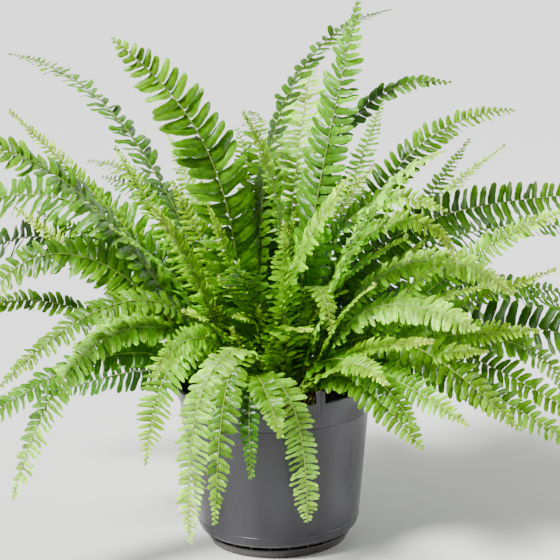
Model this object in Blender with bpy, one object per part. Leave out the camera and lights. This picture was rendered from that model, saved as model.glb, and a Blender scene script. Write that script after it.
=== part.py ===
"""A potted boston fern: a grey pot on its clip-on saucer, the soil in it, a crown and separate arching fronds.

Metres, +Z up. The origin is under the middle of the saucer, and the front is towards -Y.
Every size below is in millimetres and every angle in degrees, and the meshes are scaled once, where they are made.
"""

import math
import random
from collections import namedtuple
from itertools import product

import bpy
import numpy as np
from mathutils import Vector
from mathutils.bvhtree import BVHTree

MM = 0.001

# Pot
SEGMENTS = 36
POT_TOP = 157.0
RIM_RADIUS = 95.0
RIM_BAND = 9.5
WALL_TOP_RADIUS = 93.4
SHOULDER_RADIUS = 79.8
SHOULDER_HEIGHT = 24.0
BASE_RADIUS = 71.5
POT_UNDERSIDE = 11.8
WALL = 2.4
DRAIN_HOLES = 6
DRAIN_RADIUS = 4.5
DRAIN_RING = 52.0
DRAIN_SIDES = 8
CUT_BEYOND = 3.0
FEET = 24
FOOT_RING = 69.8
FOOT_DEPTH = 2.4
FOOT_WIDTH = 1.4
FOOT_ROOT = 0.8
LUGS = 3
LUG_ANGLE = 297.0
LUG_WIDTH = 8.5
LUG_DEPTH = 3.0
LUG_RISE = 12.0
LUG_ROOT = 10.0
LUG_INSET = 1.2

# Saucer
SAUCER_HEIGHT = 9.3
SAUCER_RIM_RADIUS = 71.3
SAUCER_FOOT_RADIUS = 67.3
SAUCER_WALL = 2.2

# Soil and crown
GAP = 0.3
SOIL_TOP = 138.0
HOLE_DEPTH = 14.0
HOLE_EASE = 0.1
CROWN_RADIUS = 32.0
CROWN_HEIGHT = 12.0
CROWN_FOOT = SOIL_TOP + 1.0
SOIL_FOOT = SOIL_TOP - HOLE_DEPTH + 2.0

# Fronds
GROW_FROM = 141.0
GROWTH_STEPS = 160
BEND_SOFTNESS = 0.16
BARE_SHARE = 0.16
LEAFLET_PITCH = 24.0
FEWEST_PAIRS = 6
MOST_PAIRS = 13
STEM_WIDTH = 2.6
TIP_WIDTH = 0.9
KEEL_DEPTH = 2.0
TIP_KEEL_DEPTH = 0.8
BLADE_TIP = 0.6
LEAFLET_TAPER = 5.0
LEAFLET_FORWARD = 0.22
LEAFLET_DROOP = 0.12
LEAFLET_SIZES = (1.0, 0.8, 0.6, 0.42, 0.28)
LEAFLET_LIFTS = (0.0, 0.3, -0.3, 0.6, -0.6)
CLEARANCE = 0.5
ROOM_FOR_STEMS = 0.9
BEND_STEPS = 240
BEND_LOOK = 12
BEND_SHARE = 0.6
NEAR_ROOM = 9.0
TOUCHING = 0.2
TINY = 1e-9
RIM_ROOM = 4.0
RIM_REACH = 8.0
LUG_SPREAD = 0.09

# A frond's stem stands on its ring at its bearing, and leans towards its azimuth, both from +X towards +Y. The frond
# climbs at its rise angle, bends over about its place along the length, and its tip points at its hang angle. Sweep
# is how far the tip swings to the left, turn is how far the blade turns about its rib, and reach is the longest
# leaflet.
Frond = namedtuple("Frond", "ring bearing azimuth length rise hang place sweep turn reach tone")

RINGS = {"heart": 13.0, "inner": 26.0, "middle": 37.0, "outer": 46.0}
ROOT_SPACING = 6.6
CROWN_ROOTS = 29.0
SOIL_ROOTS = (36.0, 56.0)
SPREAD_STEPS = 300
SPREAD_SHARE = 0.3

# Fronds that grow out of the crown in the middle, the tallest and the youngest.
CROWN_FRONDS = [
    Frond("heart", 330, 330, 400, 80, 75, 0.4, 0, 70, 28, "mid"),
    Frond("heart", 165, 30, 450, 90, 5, 0.8, 10, 0, 23, "dark"),
    Frond("heart", 70, 75, 350, 75, 50, 0.5, 0, 0, 31, "pale"),
    Frond("heart", 20, 205, 290, 90, 55, 0.9, 10, -60, 16, "fresh"),
    Frond("heart", 215, 320, 260, 85, 50, 0.4, 0, 50, 21, "fresh"),
    Frond("heart", 270, 285, 210, 65, 65, 0.4, -10, 20, 20, "fresh"),
    Frond("heart", 45, 45, 210, 90, 60, 0.9, 0, 0, 6, "fresh"),
    Frond("heart", 170, 180, 230, 75, 65, 0.5, 0, -60, 17, "fresh"),
    Frond("heart", 210, 220, 210, 80, 65, 0.6, 0, -60, 18, "fresh"),
    Frond("heart", 125, 125, 300, 60, 50, 0.6, 0, -60, 18, "fresh"),
    Frond("heart", 190, 170, 280, 65, 60, 0.4, 0, -40, 18, "fresh"),
    Frond("heart", 0, 345, 390, 85, -10, 0.9, 0, 40, 25, "dark"),
    Frond("inner", 190, 190, 390, 90, 40, 0.7, 0, -70, 36, "mid"),
    Frond("inner", 175, 175, 360, 60, 45, 0.5, 0, -40, 16, "fresh"),
    Frond("inner", 210, 205, 230, 70, 50, 0.9, 0, -40, 21, "fresh"),
    Frond("inner", 160, 155, 300, 65, 20, 0.3, 0, -50, 16, "fresh"),
    Frond("inner", 145, 145, 470, 65, 5, 0.8, 0, 0, 26, "mid"),
    Frond("inner", 60, 55, 330, 60, 50, 0.5, 0, 0, 18, "mid"),
    Frond("inner", 30, 30, 340, 50, 25, 0.7, 0, 10, 16, "fresh"),
    Frond("inner", 345, 340, 290, 85, -30, 0.8, 0, 40, 21, "fresh"),
    Frond("inner", 335, 330, 220, 90, 30, 0.4, 0, 30, 13, "fresh"),
    Frond("inner", 310, 320, 340, 65, 15, 0.9, -30, 20, 26, "pale"),
    Frond("inner", 240, 255, 220, 90, 25, 0.4, 10, 0, 29, "dark"),
    Frond("inner", 275, 210, 150, 85, 40, 0.6, 0, 10, 26, "fresh"),
    Frond("inner", 0, 350, 200, 60, 40, 0.6, 0, 40, 16, "mid"),
    Frond("inner", 225, 230, 160, 60, 15, 0.8, 10, -20, 17, "fresh"),
    Frond("inner", 250, 220, 130, 90, 5, 0.7, 20, -20, 13, "fresh"),
    Frond("inner", 290, 280, 160, 80, 5, 0.5, 0, 0, 22, "fresh"),
    Frond("inner", 320, 290, 210, 85, -85, 0.8, 0, 0, 16, "mid"),
    Frond("heart", 95, 95, 330, 90, -10, 0.9, 0, 0, 22, "mid"),
    Frond("inner", 110, 110, 270, 90, 40, 0.9, 0, 0, 20, "mid"),
    Frond("heart", 85, 85, 350, 70, 40, 0.3, 0, 0, 24, "pale"),
    Frond("heart", 50, 50, 270, 75, 30, 0.5, 0, 20, 16, "fresh"),
    Frond("inner", 180, 180, 280, 70, -30, 0.7, 0, -60, 25, "dark"),
    Frond("inner", 185, 190, 190, 40, -10, 0.5, 0, -40, 18, "dark"),
    Frond("inner", 200, 200, 210, 50, -60, 0.9, 0, -20, 14, "fresh"),
    Frond("inner", 230, 230, 190, 60, -50, 0.7, 0, -60, 16, "fresh"),
    Frond("inner", 340, 340, 290, 65, -40, 0.7, 0, 30, 18, "pale"),
    Frond("inner", 35, 30, 160, 45, -50, 0.5, 0, 20, 20, "dark"),
    Frond("inner", 65, 60, 170, 50, -50, 0.5, 0, 0, 20, "mid"),
    Frond("inner", 100, 90, 160, 50, -50, 0.5, 0, 0, 20, "dark"),
]

# Fronds that stand in the soil round the crown, each in its own hole.
SOIL_FRONDS = [
    Frond("middle", 200, 195, 420, 60, -10, 0.9, 0, -30, 31, "mid"),
    Frond("middle", 150, 155, 440, 60, -25, 0.6, 0, -40, 32, "mid"),
    Frond("middle", 165, 165, 290, 45, 35, 0.4, 0, -50, 14, "fresh"),
    Frond("middle", 130, 140, 330, 70, 0, 0.7, 0, -20, 20, "mid"),
    Frond("middle", 220, 215, 240, 65, 35, 0.7, 0, -20, 20, "fresh"),
    Frond("middle", 10, 5, 370, 75, 0, 0.8, 0, 50, 22, "mid"),
    Frond("middle", 40, 40, 330, 45, 40, 0.6, 0, 20, 16, "dark"),
    Frond("middle", 345, 345, 320, 45, 20, 0.8, 0, 50, 18, "fresh"),
    Frond("middle", 20, 25, 410, 60, -10, 0.4, 0, 40, 20, "dark"),
    Frond("middle", 330, 330, 220, 50, 40, 0.8, 0, 40, 18, "fresh"),
    Frond("middle", 320, 335, 230, 45, 10, 0.8, 0, 30, 14, "fresh"),
    Frond("middle", 305, 305, 200, 55, 25, 0.8, -10, 30, 9, "fresh"),
    Frond("middle", 225, 220, 170, 85, -60, 0.6, 0, -10, 21, "fresh"),
    Frond("middle", 5, 5, 410, 90, 0, 0.3, 0, 70, 24, "dark"),
    Frond("middle", 315, 330, 300, 75, -75, 0.9, 0, 30, 18, "fresh"),
    Frond("outer", 150, 150, 440, 45, -60, 0.7, 0, -40, 29, "dark"),
    Frond("outer", 190, 190, 340, 60, -85, 0.8, 0, -40, 26, "mid"),
    Frond("outer", 140, 140, 300, 80, 5, 0.6, 0, -40, 22, "dark"),
    Frond("outer", 340, 345, 270, 75, -30, 0.6, 0, 30, 21, "fresh"),
    Frond("outer", 350, 350, 260, 40, 20, 0.5, 0, 40, 14, "fresh"),
    Frond("outer", 10, 10, 330, 70, -15, 0.3, 0, 30, 20, "dark"),
    Frond("outer", 0, 10, 330, 50, -30, 0.5, 0, 20, 20, "dark"),
    Frond("outer", 180, 190, 310, 40, -35, 0.8, 0, -40, 16, "mid"),
    Frond("outer", 210, 210, 350, 70, -70, 0.4, 0, -20, 20, "pale"),
    Frond("outer", 200, 215, 330, 80, -35, 0.4, 0, -30, 19, "mid"),
    Frond("outer", 220, 205, 330, 55, -30, 0.3, 0, -30, 20, "mid"),
    Frond("middle", 205, 205, 200, 55, -25, 0.7, 0, -30, 18, "fresh"),
    Frond("outer", 170, 165, 190, 30, -20, 0.3, 0, -60, 20, "dark"),
    Frond("outer", 225, 225, 230, 90, -80, 0.4, 0, -30, 21, "fresh"),
    Frond("outer", 260, 235, 300, 90, -85, 0.3, 10, 0, 18, "pale"),
    Frond("outer", 245, 255, 270, 90, -75, 0.3, 0, 0, 17, "mid"),
    Frond("outer", 255, 260, 190, 70, -70, 0.4, 10, 0, 12, "dark"),
    Frond("outer", 235, 280, 210, 60, -20, 0.3, 0, 0, 16, "mid"),
    Frond("outer", 240, 305, 210, 90, -90, 0.2, 0, 20, 16, "pale"),
    Frond("outer", 320, 325, 240, 75, -20, 0.5, 0, 30, 20, "pale"),
    Frond("outer", 310, 320, 180, 65, 10, 0.3, 0, 30, 16, "fresh"),
    Frond("outer", 330, 330, 190, 30, 0, 0.8, 0, 30, 16, "fresh"),
    Frond("middle", 350, 340, 240, 55, 5, 0.2, 0, 50, 18, "fresh"),
    Frond("outer", 355, 345, 300, 30, -90, 0.8, 0, 40, 17, "mid"),
    Frond("middle", 325, 330, 280, 75, -40, 0.3, 0, 40, 24, "mid"),
    Frond("middle", 335, 340, 300, 50, -30, 0.2, 0, 40, 21, "mid"),
    Frond("middle", 355, 345, 330, 80, -30, 0.1, 0, 40, 20, "mid"),
    Frond("outer", 315, 320, 200, 55, -25, 0.3, 0, 30, 18, "fresh"),
    Frond("outer", 305, 310, 190, 65, -40, 0.3, 10, 30, 20, "mid"),
    Frond("outer", 295, 315, 200, 70, -45, 0.4, 0, 30, 18, "mid"),
    Frond("middle", 300, 305, 170, 40, -30, 0.8, 0, 20, 16, "fresh"),
    Frond("outer", 20, 10, 330, 40, -15, 0.3, 0, 70, 36, "dark"),
]

# Fronds at the back, which follow a rule with small seeded differences.
BACK_SEED = 11
BACK_COUNT = 9
BACK_FIRST = 34.0
BACK_STEP = 12.0
BACK_LENGTHS = (300.0, 350.0)
BACK_RISES = (58.0, 65.0, 72.0)
BACK_HANGS = (-48.0, -60.0)
BACK_PLACE = 0.45
BACK_REACH = 23.0

TONES = {
    "dark": (0.035, 0.120, 0.020),
    "mid": (0.075, 0.210, 0.030),
    "fresh": (0.190, 0.370, 0.035),
    "pale": (0.270, 0.440, 0.140),
}


def back_fronds():
    """The fronds at the back, evenly spread, long and short in turn."""
    draw = random.Random(BACK_SEED)
    fronds = []
    for i in range(BACK_COUNT):
        azimuth = BACK_FIRST + BACK_STEP * i
        length = BACK_LENGTHS[i % 2] + draw.uniform(-15, 15)
        rise = BACK_RISES[i % 3] + draw.uniform(-3, 3)
        hang = BACK_HANGS[i % 2] + draw.uniform(-8, 8)
        place = BACK_PLACE + draw.uniform(-0.08, 0.08)
        turn = draw.uniform(-20, 20)
        tone = ("mid", "dark", "mid", "fresh")[i % 4]
        fronds.append(Frond("outer", azimuth, azimuth, length, rise, hang, place, 0, turn, BACK_REACH, tone))
    return fronds


def spread_roots(fronds):
    """Where each stem stands: on its ring at its bearing, and then moved apart from its neighbours."""
    bearings = np.radians([frond.bearing for frond in fronds])
    radii = np.array([RINGS[frond.ring] for frond in fronds])
    fused = np.array([frond.ring in ("heart", "inner") for frond in fronds])
    spots = np.stack([radii * np.cos(bearings), radii * np.sin(bearings)], axis=1)
    for _ in range(SPREAD_STEPS):
        way = spots[None] - spots[:, None]
        apart = np.linalg.norm(way, axis=2)
        np.fill_diagonal(apart, np.inf)
        lack = np.maximum(ROOT_SPACING - apart, 0)
        spots -= (way / apart[..., None] * lack[..., None]).sum(axis=1) * SPREAD_SHARE
        radius = np.linalg.norm(spots, axis=1)
        held = np.where(fused, np.minimum(radius, CROWN_ROOTS), np.clip(radius, *SOIL_ROOTS))
        spots *= (held / radius)[:, None]
    return spots


def clear_scene():
    for obj in list(bpy.data.objects):
        bpy.data.objects.remove(obj)


def material(name, colour, roughness):
    made = bpy.data.materials.new(name)
    made.use_nodes = True
    shader = made.node_tree.nodes["Principled BSDF"]
    shader.inputs["Base Color"].default_value = (*colour, 1)
    shader.inputs["Roughness"].default_value = roughness
    shader.inputs["Metallic"].default_value = 0
    return made


def solid(name, points, faces, look):
    """An object from points in millimetres."""
    mesh = bpy.data.meshes.new(name)
    mesh.from_pydata([tuple(float(c) * MM for c in p) for p in points], [], faces)
    mesh.validate()
    mesh.materials.append(look)
    obj = bpy.data.objects.new(name, mesh)
    bpy.context.scene.collection.objects.link(obj)
    return obj


def turned(name, profile, look):
    """A closed turned solid. The profile runs from the axis at the bottom, round the outside, to the axis above."""
    points = []
    rings = []
    for radius, height in profile:
        if radius == 0:
            rings.append([len(points)] * SEGMENTS)
            points.append((0, 0, height))
            continue
        rings.append(list(range(len(points), len(points) + SEGMENTS)))
        for i in range(SEGMENTS):
            angle = 2 * math.pi * i / SEGMENTS
            points.append((radius * math.cos(angle), radius * math.sin(angle), height))
    faces = []
    for low, high in zip(rings, rings[1:]):
        for i in range(SEGMENTS):
            j = (i + 1) % SEGMENTS
            corners = [low[i], low[j], high[j], high[i]]
            faces.append(list(dict.fromkeys(corners)))
    return solid(name, points, faces, look)


def box(name, size, centre, angle, look):
    """A box with its first side along the radius, turned about the vertical axis."""
    cos, sin = math.cos(angle), math.sin(angle)
    points = []
    for z in (-0.5, 0.5):
        for x, y in ((-0.5, -0.5), (0.5, -0.5), (0.5, 0.5), (-0.5, 0.5)):
            along, across = centre[0] + x * size[0], centre[1] + y * size[1]
            points.append((along * cos - across * sin, along * sin + across * cos, centre[2] + z * size[2]))
    faces = [(3, 2, 1, 0), (4, 5, 6, 7), (0, 1, 5, 4), (1, 2, 6, 5), (2, 3, 7, 6), (3, 0, 4, 7)]
    return solid(name, points, faces, look)


def combine(target, others, operation):
    """Joins the others to the target, or cuts them from it, and removes them."""
    group = bpy.data.collections.new(target.name + "_others")
    bpy.context.scene.collection.children.link(group)
    for other in others:
        bpy.context.scene.collection.objects.unlink(other)
        group.objects.link(other)
    modifier = target.modifiers.new("combine", "BOOLEAN")
    modifier.operation = operation
    modifier.operand_type = "COLLECTION"
    modifier.collection = group
    modifier.solver = "MANIFOLD" if operation == "UNION" else "EXACT"
    graph = bpy.context.evaluated_depsgraph_get()
    joined = bpy.data.meshes.new_from_object(target.evaluated_get(graph))
    target.modifiers.clear()
    target.data = joined
    for other in others:
        bpy.data.objects.remove(other)
    bpy.data.collections.remove(group)
    return target


def pot_inside():
    """The pot's inner profile: under the rim, at the shoulder, at the bend and at the edge of the floor."""
    floor = POT_UNDERSIDE + WALL
    shoulder = SHOULDER_RADIUS - WALL
    top = (WALL_TOP_RADIUS - WALL, POT_TOP - 2.0)
    return [top, (shoulder, SHOULDER_HEIGHT + 1.0), (shoulder - 2.2, floor + 3.6), (BASE_RADIUS - 1.0, floor)]


def pot_profile():
    return [
        (0, POT_UNDERSIDE),
        (BASE_RADIUS, POT_UNDERSIDE),
        (BASE_RADIUS + 4.8, POT_UNDERSIDE + 4.0),
        (SHOULDER_RADIUS - 0.8, SHOULDER_HEIGHT - 3.8),
        (SHOULDER_RADIUS, SHOULDER_HEIGHT),
        (WALL_TOP_RADIUS, POT_TOP - RIM_BAND),
        (RIM_RADIUS, POT_TOP - RIM_BAND),
        (RIM_RADIUS, POT_TOP - 0.8),
        (RIM_RADIUS - 0.8, POT_TOP),
        (RIM_RADIUS - 2.8, POT_TOP),
        *pot_inside(),
        (0, POT_UNDERSIDE + WALL),
    ]


def round_peg(name, radius, sides, low, high, x, y, look):
    points = []
    for z in (low, high):
        for i in range(sides):
            angle = 2 * math.pi * i / sides
            points.append((x + radius * math.cos(angle), y + radius * math.sin(angle), z))
    faces = [tuple(reversed(range(sides))), tuple(range(sides, 2 * sides))]
    faces += [(i, (i + 1) % sides, (i + 1) % sides + sides, i + sides) for i in range(sides)]
    return solid(name, points, faces, look)


def make_pot(look):
    """The pot, with upright hanger lugs on its rim, short feet on the saucer's rim and drain holes in its floor."""
    pot = turned("pot", pot_profile(), look)
    added = []
    for i in range(FEET):
        angle = 2 * math.pi * (i + 0.5) / FEET
        low, high = SAUCER_HEIGHT + GAP, POT_UNDERSIDE + FOOT_ROOT
        added.append(box("foot", (FOOT_DEPTH, FOOT_WIDTH, high - low), (FOOT_RING, 0, (low + high) / 2), angle, look))
    for i in range(LUGS):
        angle = math.radians(LUG_ANGLE) + 2 * math.pi * i / LUGS
        height = LUG_RISE + LUG_ROOT
        middle = POT_TOP + LUG_RISE - height / 2
        added.append(box("lug", (LUG_DEPTH, LUG_WIDTH, height), (RIM_RADIUS - LUG_INSET, 0, middle), angle, look))
    combine(pot, added, "UNION")
    holes = []
    for i in range(DRAIN_HOLES):
        angle = 2 * math.pi * i / DRAIN_HOLES
        x, y = DRAIN_RING * math.cos(angle), DRAIN_RING * math.sin(angle)
        low, high = POT_UNDERSIDE - CUT_BEYOND, POT_UNDERSIDE + WALL + CUT_BEYOND
        holes.append(round_peg("drain", DRAIN_RADIUS, DRAIN_SIDES, low, high, x, y, look))
    return combine(pot, holes, "DIFFERENCE")


def make_saucer(look):
    """The clip-on saucer: a shallow dish with a thin outward lip."""
    profile = [
        (0, 0),
        (SAUCER_FOOT_RADIUS - 0.8, 0),
        (SAUCER_FOOT_RADIUS, 0.8),
        (SAUCER_RIM_RADIUS - 1.0, SAUCER_HEIGHT - 1.6),
        (SAUCER_RIM_RADIUS, SAUCER_HEIGHT - 1.2),
        (SAUCER_RIM_RADIUS, SAUCER_HEIGHT),
        (SAUCER_RIM_RADIUS - SAUCER_WALL - 0.6, SAUCER_HEIGHT),
        (SAUCER_FOOT_RADIUS - SAUCER_WALL, SAUCER_WALL),
        (0, SAUCER_WALL),
    ]
    return turned("saucer", profile, look)


def soil_profile():
    top, shoulder, bend, floor = pot_inside()
    rise = (SOIL_TOP - shoulder[1]) / (top[1] - shoulder[1])
    top_radius = shoulder[0] + (top[0] - shoulder[0]) * rise
    side = GAP + HOLE_EASE
    return [
        (0, floor[1] + GAP),
        (floor[0] - side, floor[1] + GAP),
        (bend[0] - side, bend[1] + GAP),
        (shoulder[0] - side, shoulder[1] + GAP),
        (top_radius - side, SOIL_TOP),
        (0, SOIL_TOP),
    ]


def stem_section(frond):
    """The blade's upper normal and its right-hand side where a frond's stem stands upright."""
    way = math.radians(frond.azimuth)
    inwards = np.array([-math.cos(way), -math.sin(way), 0.0])
    right = np.cross([0.0, 0.0, 1.0], inwards)
    turn = math.radians(frond.turn)
    normal = inwards * math.cos(turn) + right * math.sin(turn)
    right = np.cross([0.0, 0.0, 1.0], normal)
    return normal, right


def make_soil(fronds, roots, look):
    """The soil, with a plain three-sided hole for each stem that stands in it."""
    soil = turned("soil", soil_profile(), look)
    cutters = []
    for frond, (x, y) in zip(fronds, roots):
        normal, right = stem_section(frond)
        corners = [right * STEM_WIDTH / 2, -right * STEM_WIDTH / 2, -normal * KEEL_DEPTH]
        middle = sum(corners) / 3
        inner = abs(float(np.dot(corners[0] - middle, normal)))
        grow = (inner + GAP + HOLE_EASE) / inner
        points = []
        for z in (SOIL_TOP - HOLE_DEPTH, SOIL_TOP + CUT_BEYOND):
            for corner in corners:
                spot = middle + (corner - middle) * grow
                points.append((x + spot[0], y + spot[1], z))
        faces = [(0, 2, 1), (3, 4, 5), (0, 1, 4, 3), (1, 2, 5, 4), (2, 0, 3, 5)]
        cutters.append(solid("hole", points, outward(points, faces), look))
    return combine(soil, cutters, "DIFFERENCE")


def outward(points, faces):
    """The same faces, turned so that the solid's volume is positive."""
    spots = np.array(points, float)
    volume = 0.0
    for face in faces:
        for i in range(1, len(face) - 1):
            volume += np.linalg.det(spots[[face[0], face[i], face[i + 1]]])
    return faces if volume > 0 else [tuple(reversed(face)) for face in faces]


def pairs_of(frond):
    """How many pairs of leaflets a frond carries."""
    count = round(frond.length * (1 - BARE_SHARE) / LEAFLET_PITCH)
    return max(FEWEST_PAIRS, min(MOST_PAIRS, count))


def growth(frond, root, foot):
    """The stations along a frond's rib and the angle at each: a hidden foot, a bare stem, then one for each pair."""
    pairs = pairs_of(frond)
    shares = [0.0, BARE_SHARE * 0.45, BARE_SHARE]
    shares += [BARE_SHARE + (1 - BARE_SHARE) * (i + 1) / pairs for i in range(pairs)]
    along = (np.arange(GROWTH_STEPS) + 0.5) / GROWTH_STEPS

    def bent(share):
        return 1 / (1 + np.exp(-(share - frond.place) / BEND_SOFTNESS))

    over = (bent(along) - bent(0.0)) / (bent(1.0) - bent(0.0))
    angle = np.radians(frond.rise + (frond.hang - frond.rise) * over)
    out = np.concatenate([[0], np.cumsum(np.cos(angle))]) * frond.length / GROWTH_STEPS
    up = np.concatenate([[0], np.cumsum(np.sin(angle))]) * frond.length / GROWTH_STEPS
    ends = np.arange(GROWTH_STEPS + 1) / GROWTH_STEPS
    way = math.radians(frond.azimuth)
    spots, angles = [], []
    for share in shares:
        side = frond.sweep * share**2
        reach = np.interp(share, ends, out)
        x = root[0] + reach * math.cos(way) - side * math.sin(way)
        y = root[1] + reach * math.sin(way) + side * math.cos(way)
        spots.append((x, y, GROW_FROM + np.interp(share, ends, up)))
        angles.append(np.interp(share, along, angle))
    spots.insert(0, (*root, foot))
    angles.insert(0, math.pi / 2)
    angles[1] = math.pi / 2
    return np.array(spots), np.array(angles)


def widths(count):
    """Half the rib's width and its keel's depth at each station, from the root to the tip."""
    share = np.linspace(0, 1, count) ** 1.2
    half = (STEM_WIDTH + (TIP_WIDTH - STEM_WIDTH) * share) / 2
    keel = KEEL_DEPTH + (TIP_KEEL_DEPTH - KEEL_DEPTH) * share
    half[:2] = STEM_WIDTH / 2
    keel[:2] = KEEL_DEPTH
    return half, keel


def closest(a0, a1, b0, b1):
    """For rows of segment pairs, the shares along them where they are nearest, and the way between those points."""
    u, v, w = a1 - a0, b1 - b0, a0 - b0
    uu, uv, vv = (u * u).sum(1), (u * v).sum(1), (v * v).sum(1)
    uw, vw = (u * w).sum(1), (v * w).sum(1)
    flat = np.maximum(uu * vv - uv * uv, TINY)
    s = np.clip((uv * vw - vv * uw) / flat, 0, 1)
    t = np.clip((uv * s + vw) / vv, 0, 1)
    s = np.clip((uv * t - uw) / uu, 0, 1)
    return s, t, (b0 + v * t[:, None]) - (a0 + u * s[:, None])


def near_stretches(spots, first, owner):
    """The pairs of stretches of different ribs that lie close enough to meet."""
    middle = (spots[first] + spots[first + 1]) / 2
    half = np.linalg.norm(spots[first + 1] - spots[first], axis=1) / 2
    apart = np.linalg.norm(middle[:, None] - middle[None], axis=2)
    near = apart < half[:, None] + half[None] + NEAR_ROOM
    return np.nonzero(np.triu(near, 1) & (owner[first][:, None] != owner[first][None]))


def bend_clear(paths, fat):
    """Moves the stations of ribs that would touch until each pair keeps its room. Roots stay where they are."""
    owner = np.concatenate([np.full(len(path), i) for i, path in enumerate(paths)])
    spots = np.concatenate(paths)
    room = np.concatenate(fat)
    first = np.flatnonzero(owner[:-1] == owner[1:])
    loose = np.concatenate([np.arange(len(path)) > 1 for path in paths])
    for step in range(BEND_STEPS):
        if step % BEND_LOOK == 0:
            i, j = near_stretches(spots, first, owner)
            ends = (first[i], first[i] + 1, first[j], first[j] + 1)
            need = room[ends[0]] + room[ends[2]] + ROOM_FOR_STEMS
        s, t, way = closest(*(spots[end] for end in ends))
        gap = np.linalg.norm(way, axis=1)
        across = np.cross(spots[ends[1]] - spots[ends[0]], spots[ends[3]] - spots[ends[2]])
        across /= np.linalg.norm(across, axis=1)[:, None] + TINY
        push = np.where(gap[:, None] > TOUCHING, way / (gap[:, None] + TINY), across)
        push *= np.maximum(need - gap, 0)[:, None] * BEND_SHARE
        tight = (gap < need).astype(float)
        shift = np.zeros_like(spots)
        weight = np.zeros(len(spots))
        for end, part, sign in zip(ends, (1 - s, s, 1 - t, t), (-1, -1, 1, 1)):
            np.add.at(shift, end, sign * push * part[:, None])
            np.add.at(weight, end, tight * part)
        spots[loose] += (shift / np.maximum(weight, 1)[:, None])[loose]
    starts = np.cumsum([0] + [len(path) for path in paths])
    return [spots[a:b] for a, b in zip(starts, starts[1:])]


def rim_height(x, y):
    """How high the pot reaches at its rim on this side, with its lugs."""
    for i in range(LUGS):
        turn = math.atan2(y, x) - math.radians(LUG_ANGLE) - 2 * math.pi * i / LUGS
        if abs(math.remainder(turn, 2 * math.pi)) < LUG_SPREAD:
            return POT_TOP + LUG_RISE
    return POT_TOP


def lift_over_rim(path):
    """Raises the stations near the pot's rim until the rib passes over it."""
    for k in range(2, len(path)):
        for share in np.linspace(0, 1, 9):
            x, y, z = path[k - 1] + (path[k] - path[k - 1]) * share
            lack = rim_height(x, y) + RIM_ROOM - z
            if RIM_RADIUS - RIM_REACH < math.hypot(x, y) < RIM_RADIUS + RIM_ROOM and lack > 0:
                path[k:, 2] += lack
                if k > 2:
                    path[k - 1, 2] += lack
    return path


def frames(path, angles, frond):
    """The blade's upper normal and its right-hand side at each station."""
    ahead = np.gradient(path, axis=0)
    ahead[:2] = (0, 0, 1)
    ahead /= np.linalg.norm(ahead, axis=1)[:, None]
    way = math.radians(frond.azimuth)
    level = np.array([math.cos(way), math.sin(way), 0.0])
    normal = -np.sin(angles)[:, None] * level + np.cos(angles)[:, None] * np.array([0.0, 0.0, 1.0])
    normal -= (normal * ahead).sum(1)[:, None] * ahead
    normal /= np.linalg.norm(normal, axis=1)[:, None]
    right = np.cross(ahead, normal)
    turn = math.radians(frond.turn)
    turned_normal = normal * math.cos(turn) + right * math.sin(turn)
    return turned_normal, np.cross(ahead, turned_normal)


def leaflet_reach(frond, share):
    """How far a leaflet reaches at this share of the leafy length."""
    return frond.reach * min(1.0, 0.6 + 2.0 * share) * (1 - share**LEAFLET_TAPER)


def leaflet_tip(rib, k, side, size, lift):
    """The tip of the leaflet between stations k and k + 1, on the right (1) or the left (-1)."""
    middle = (rib.path[k] + rib.path[k + 1]) / 2
    ahead = rib.path[k + 1] - rib.path[k]
    normal = (rib.normal[k] + rib.normal[k + 1]) / 2
    right = (rib.right[k] + rib.right[k + 1]) / 2
    forward = ahead / np.linalg.norm(ahead) * LEAFLET_FORWARD
    return middle + (forward + right * side + normal * (lift - LEAFLET_DROOP)) * size


Rib = namedtuple("Rib", "frond path normal right half keel")


def rib_corners(rib):
    """The right edge, left edge and keel at each station."""
    right = rib.path + rib.right * rib.half[:, None]
    left = rib.path - rib.right * rib.half[:, None]
    keel = rib.path - rib.normal * rib.keel[:, None]
    return right, left, keel


def rib_mesh(rib):
    """The bare rib, as points and faces, for clearance tests."""
    right, left, keel = rib_corners(rib)
    count = len(rib.path)
    points = np.concatenate([right, left, keel])
    faces = []
    for k in range(count - 1):
        r, l, d = k, count + k, 2 * count + k
        faces += [(r, r + 1, l + 1, l), (r, d, d + 1, r + 1), (l + 1, d + 1, d, l)]
    return points, faces


def leaflet_probe(rib, k, side, tip, room):
    """A closed wedge round a leaflet, larger by the room that it needs."""
    right, left, keel = rib_corners(rib)
    edge = right if side > 0 else left
    ahead = rib.path[k + 1] - rib.path[k]
    ahead = ahead / np.linalg.norm(ahead) * room
    normal = (rib.normal[k] + rib.normal[k + 1]) / 2
    up = normal * room
    beyond = tip - (edge[k] + edge[k + 1]) / 2
    beyond = beyond / np.linalg.norm(beyond) * room
    points = [edge[k] - ahead + up, edge[k + 1] + ahead + up, tip + beyond + up]
    points += [keel[k] - ahead - up, keel[k + 1] + ahead - up, tip + beyond - up - normal * BLADE_TIP]
    faces = [(0, 1, 2), (3, 5, 4), (0, 2, 5), (0, 5, 3), (1, 4, 5), (1, 5, 2), (0, 3, 4), (0, 4, 1)]
    return points, faces


def tree_of(points, faces):
    return BVHTree.FromPolygons([Vector(p) for p in points], faces, epsilon=0.0)


def mesh_tree(objects):
    """One search tree of the faces of finished objects, in millimetres."""
    points, faces = [], []
    for obj in objects:
        start = len(points)
        points += [v.co / MM for v in obj.data.vertices]
        faces += [[start + i for i in p.vertices] for p in obj.data.polygons]
    return BVHTree.FromPolygons(points, faces, epsilon=0.0)


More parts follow.
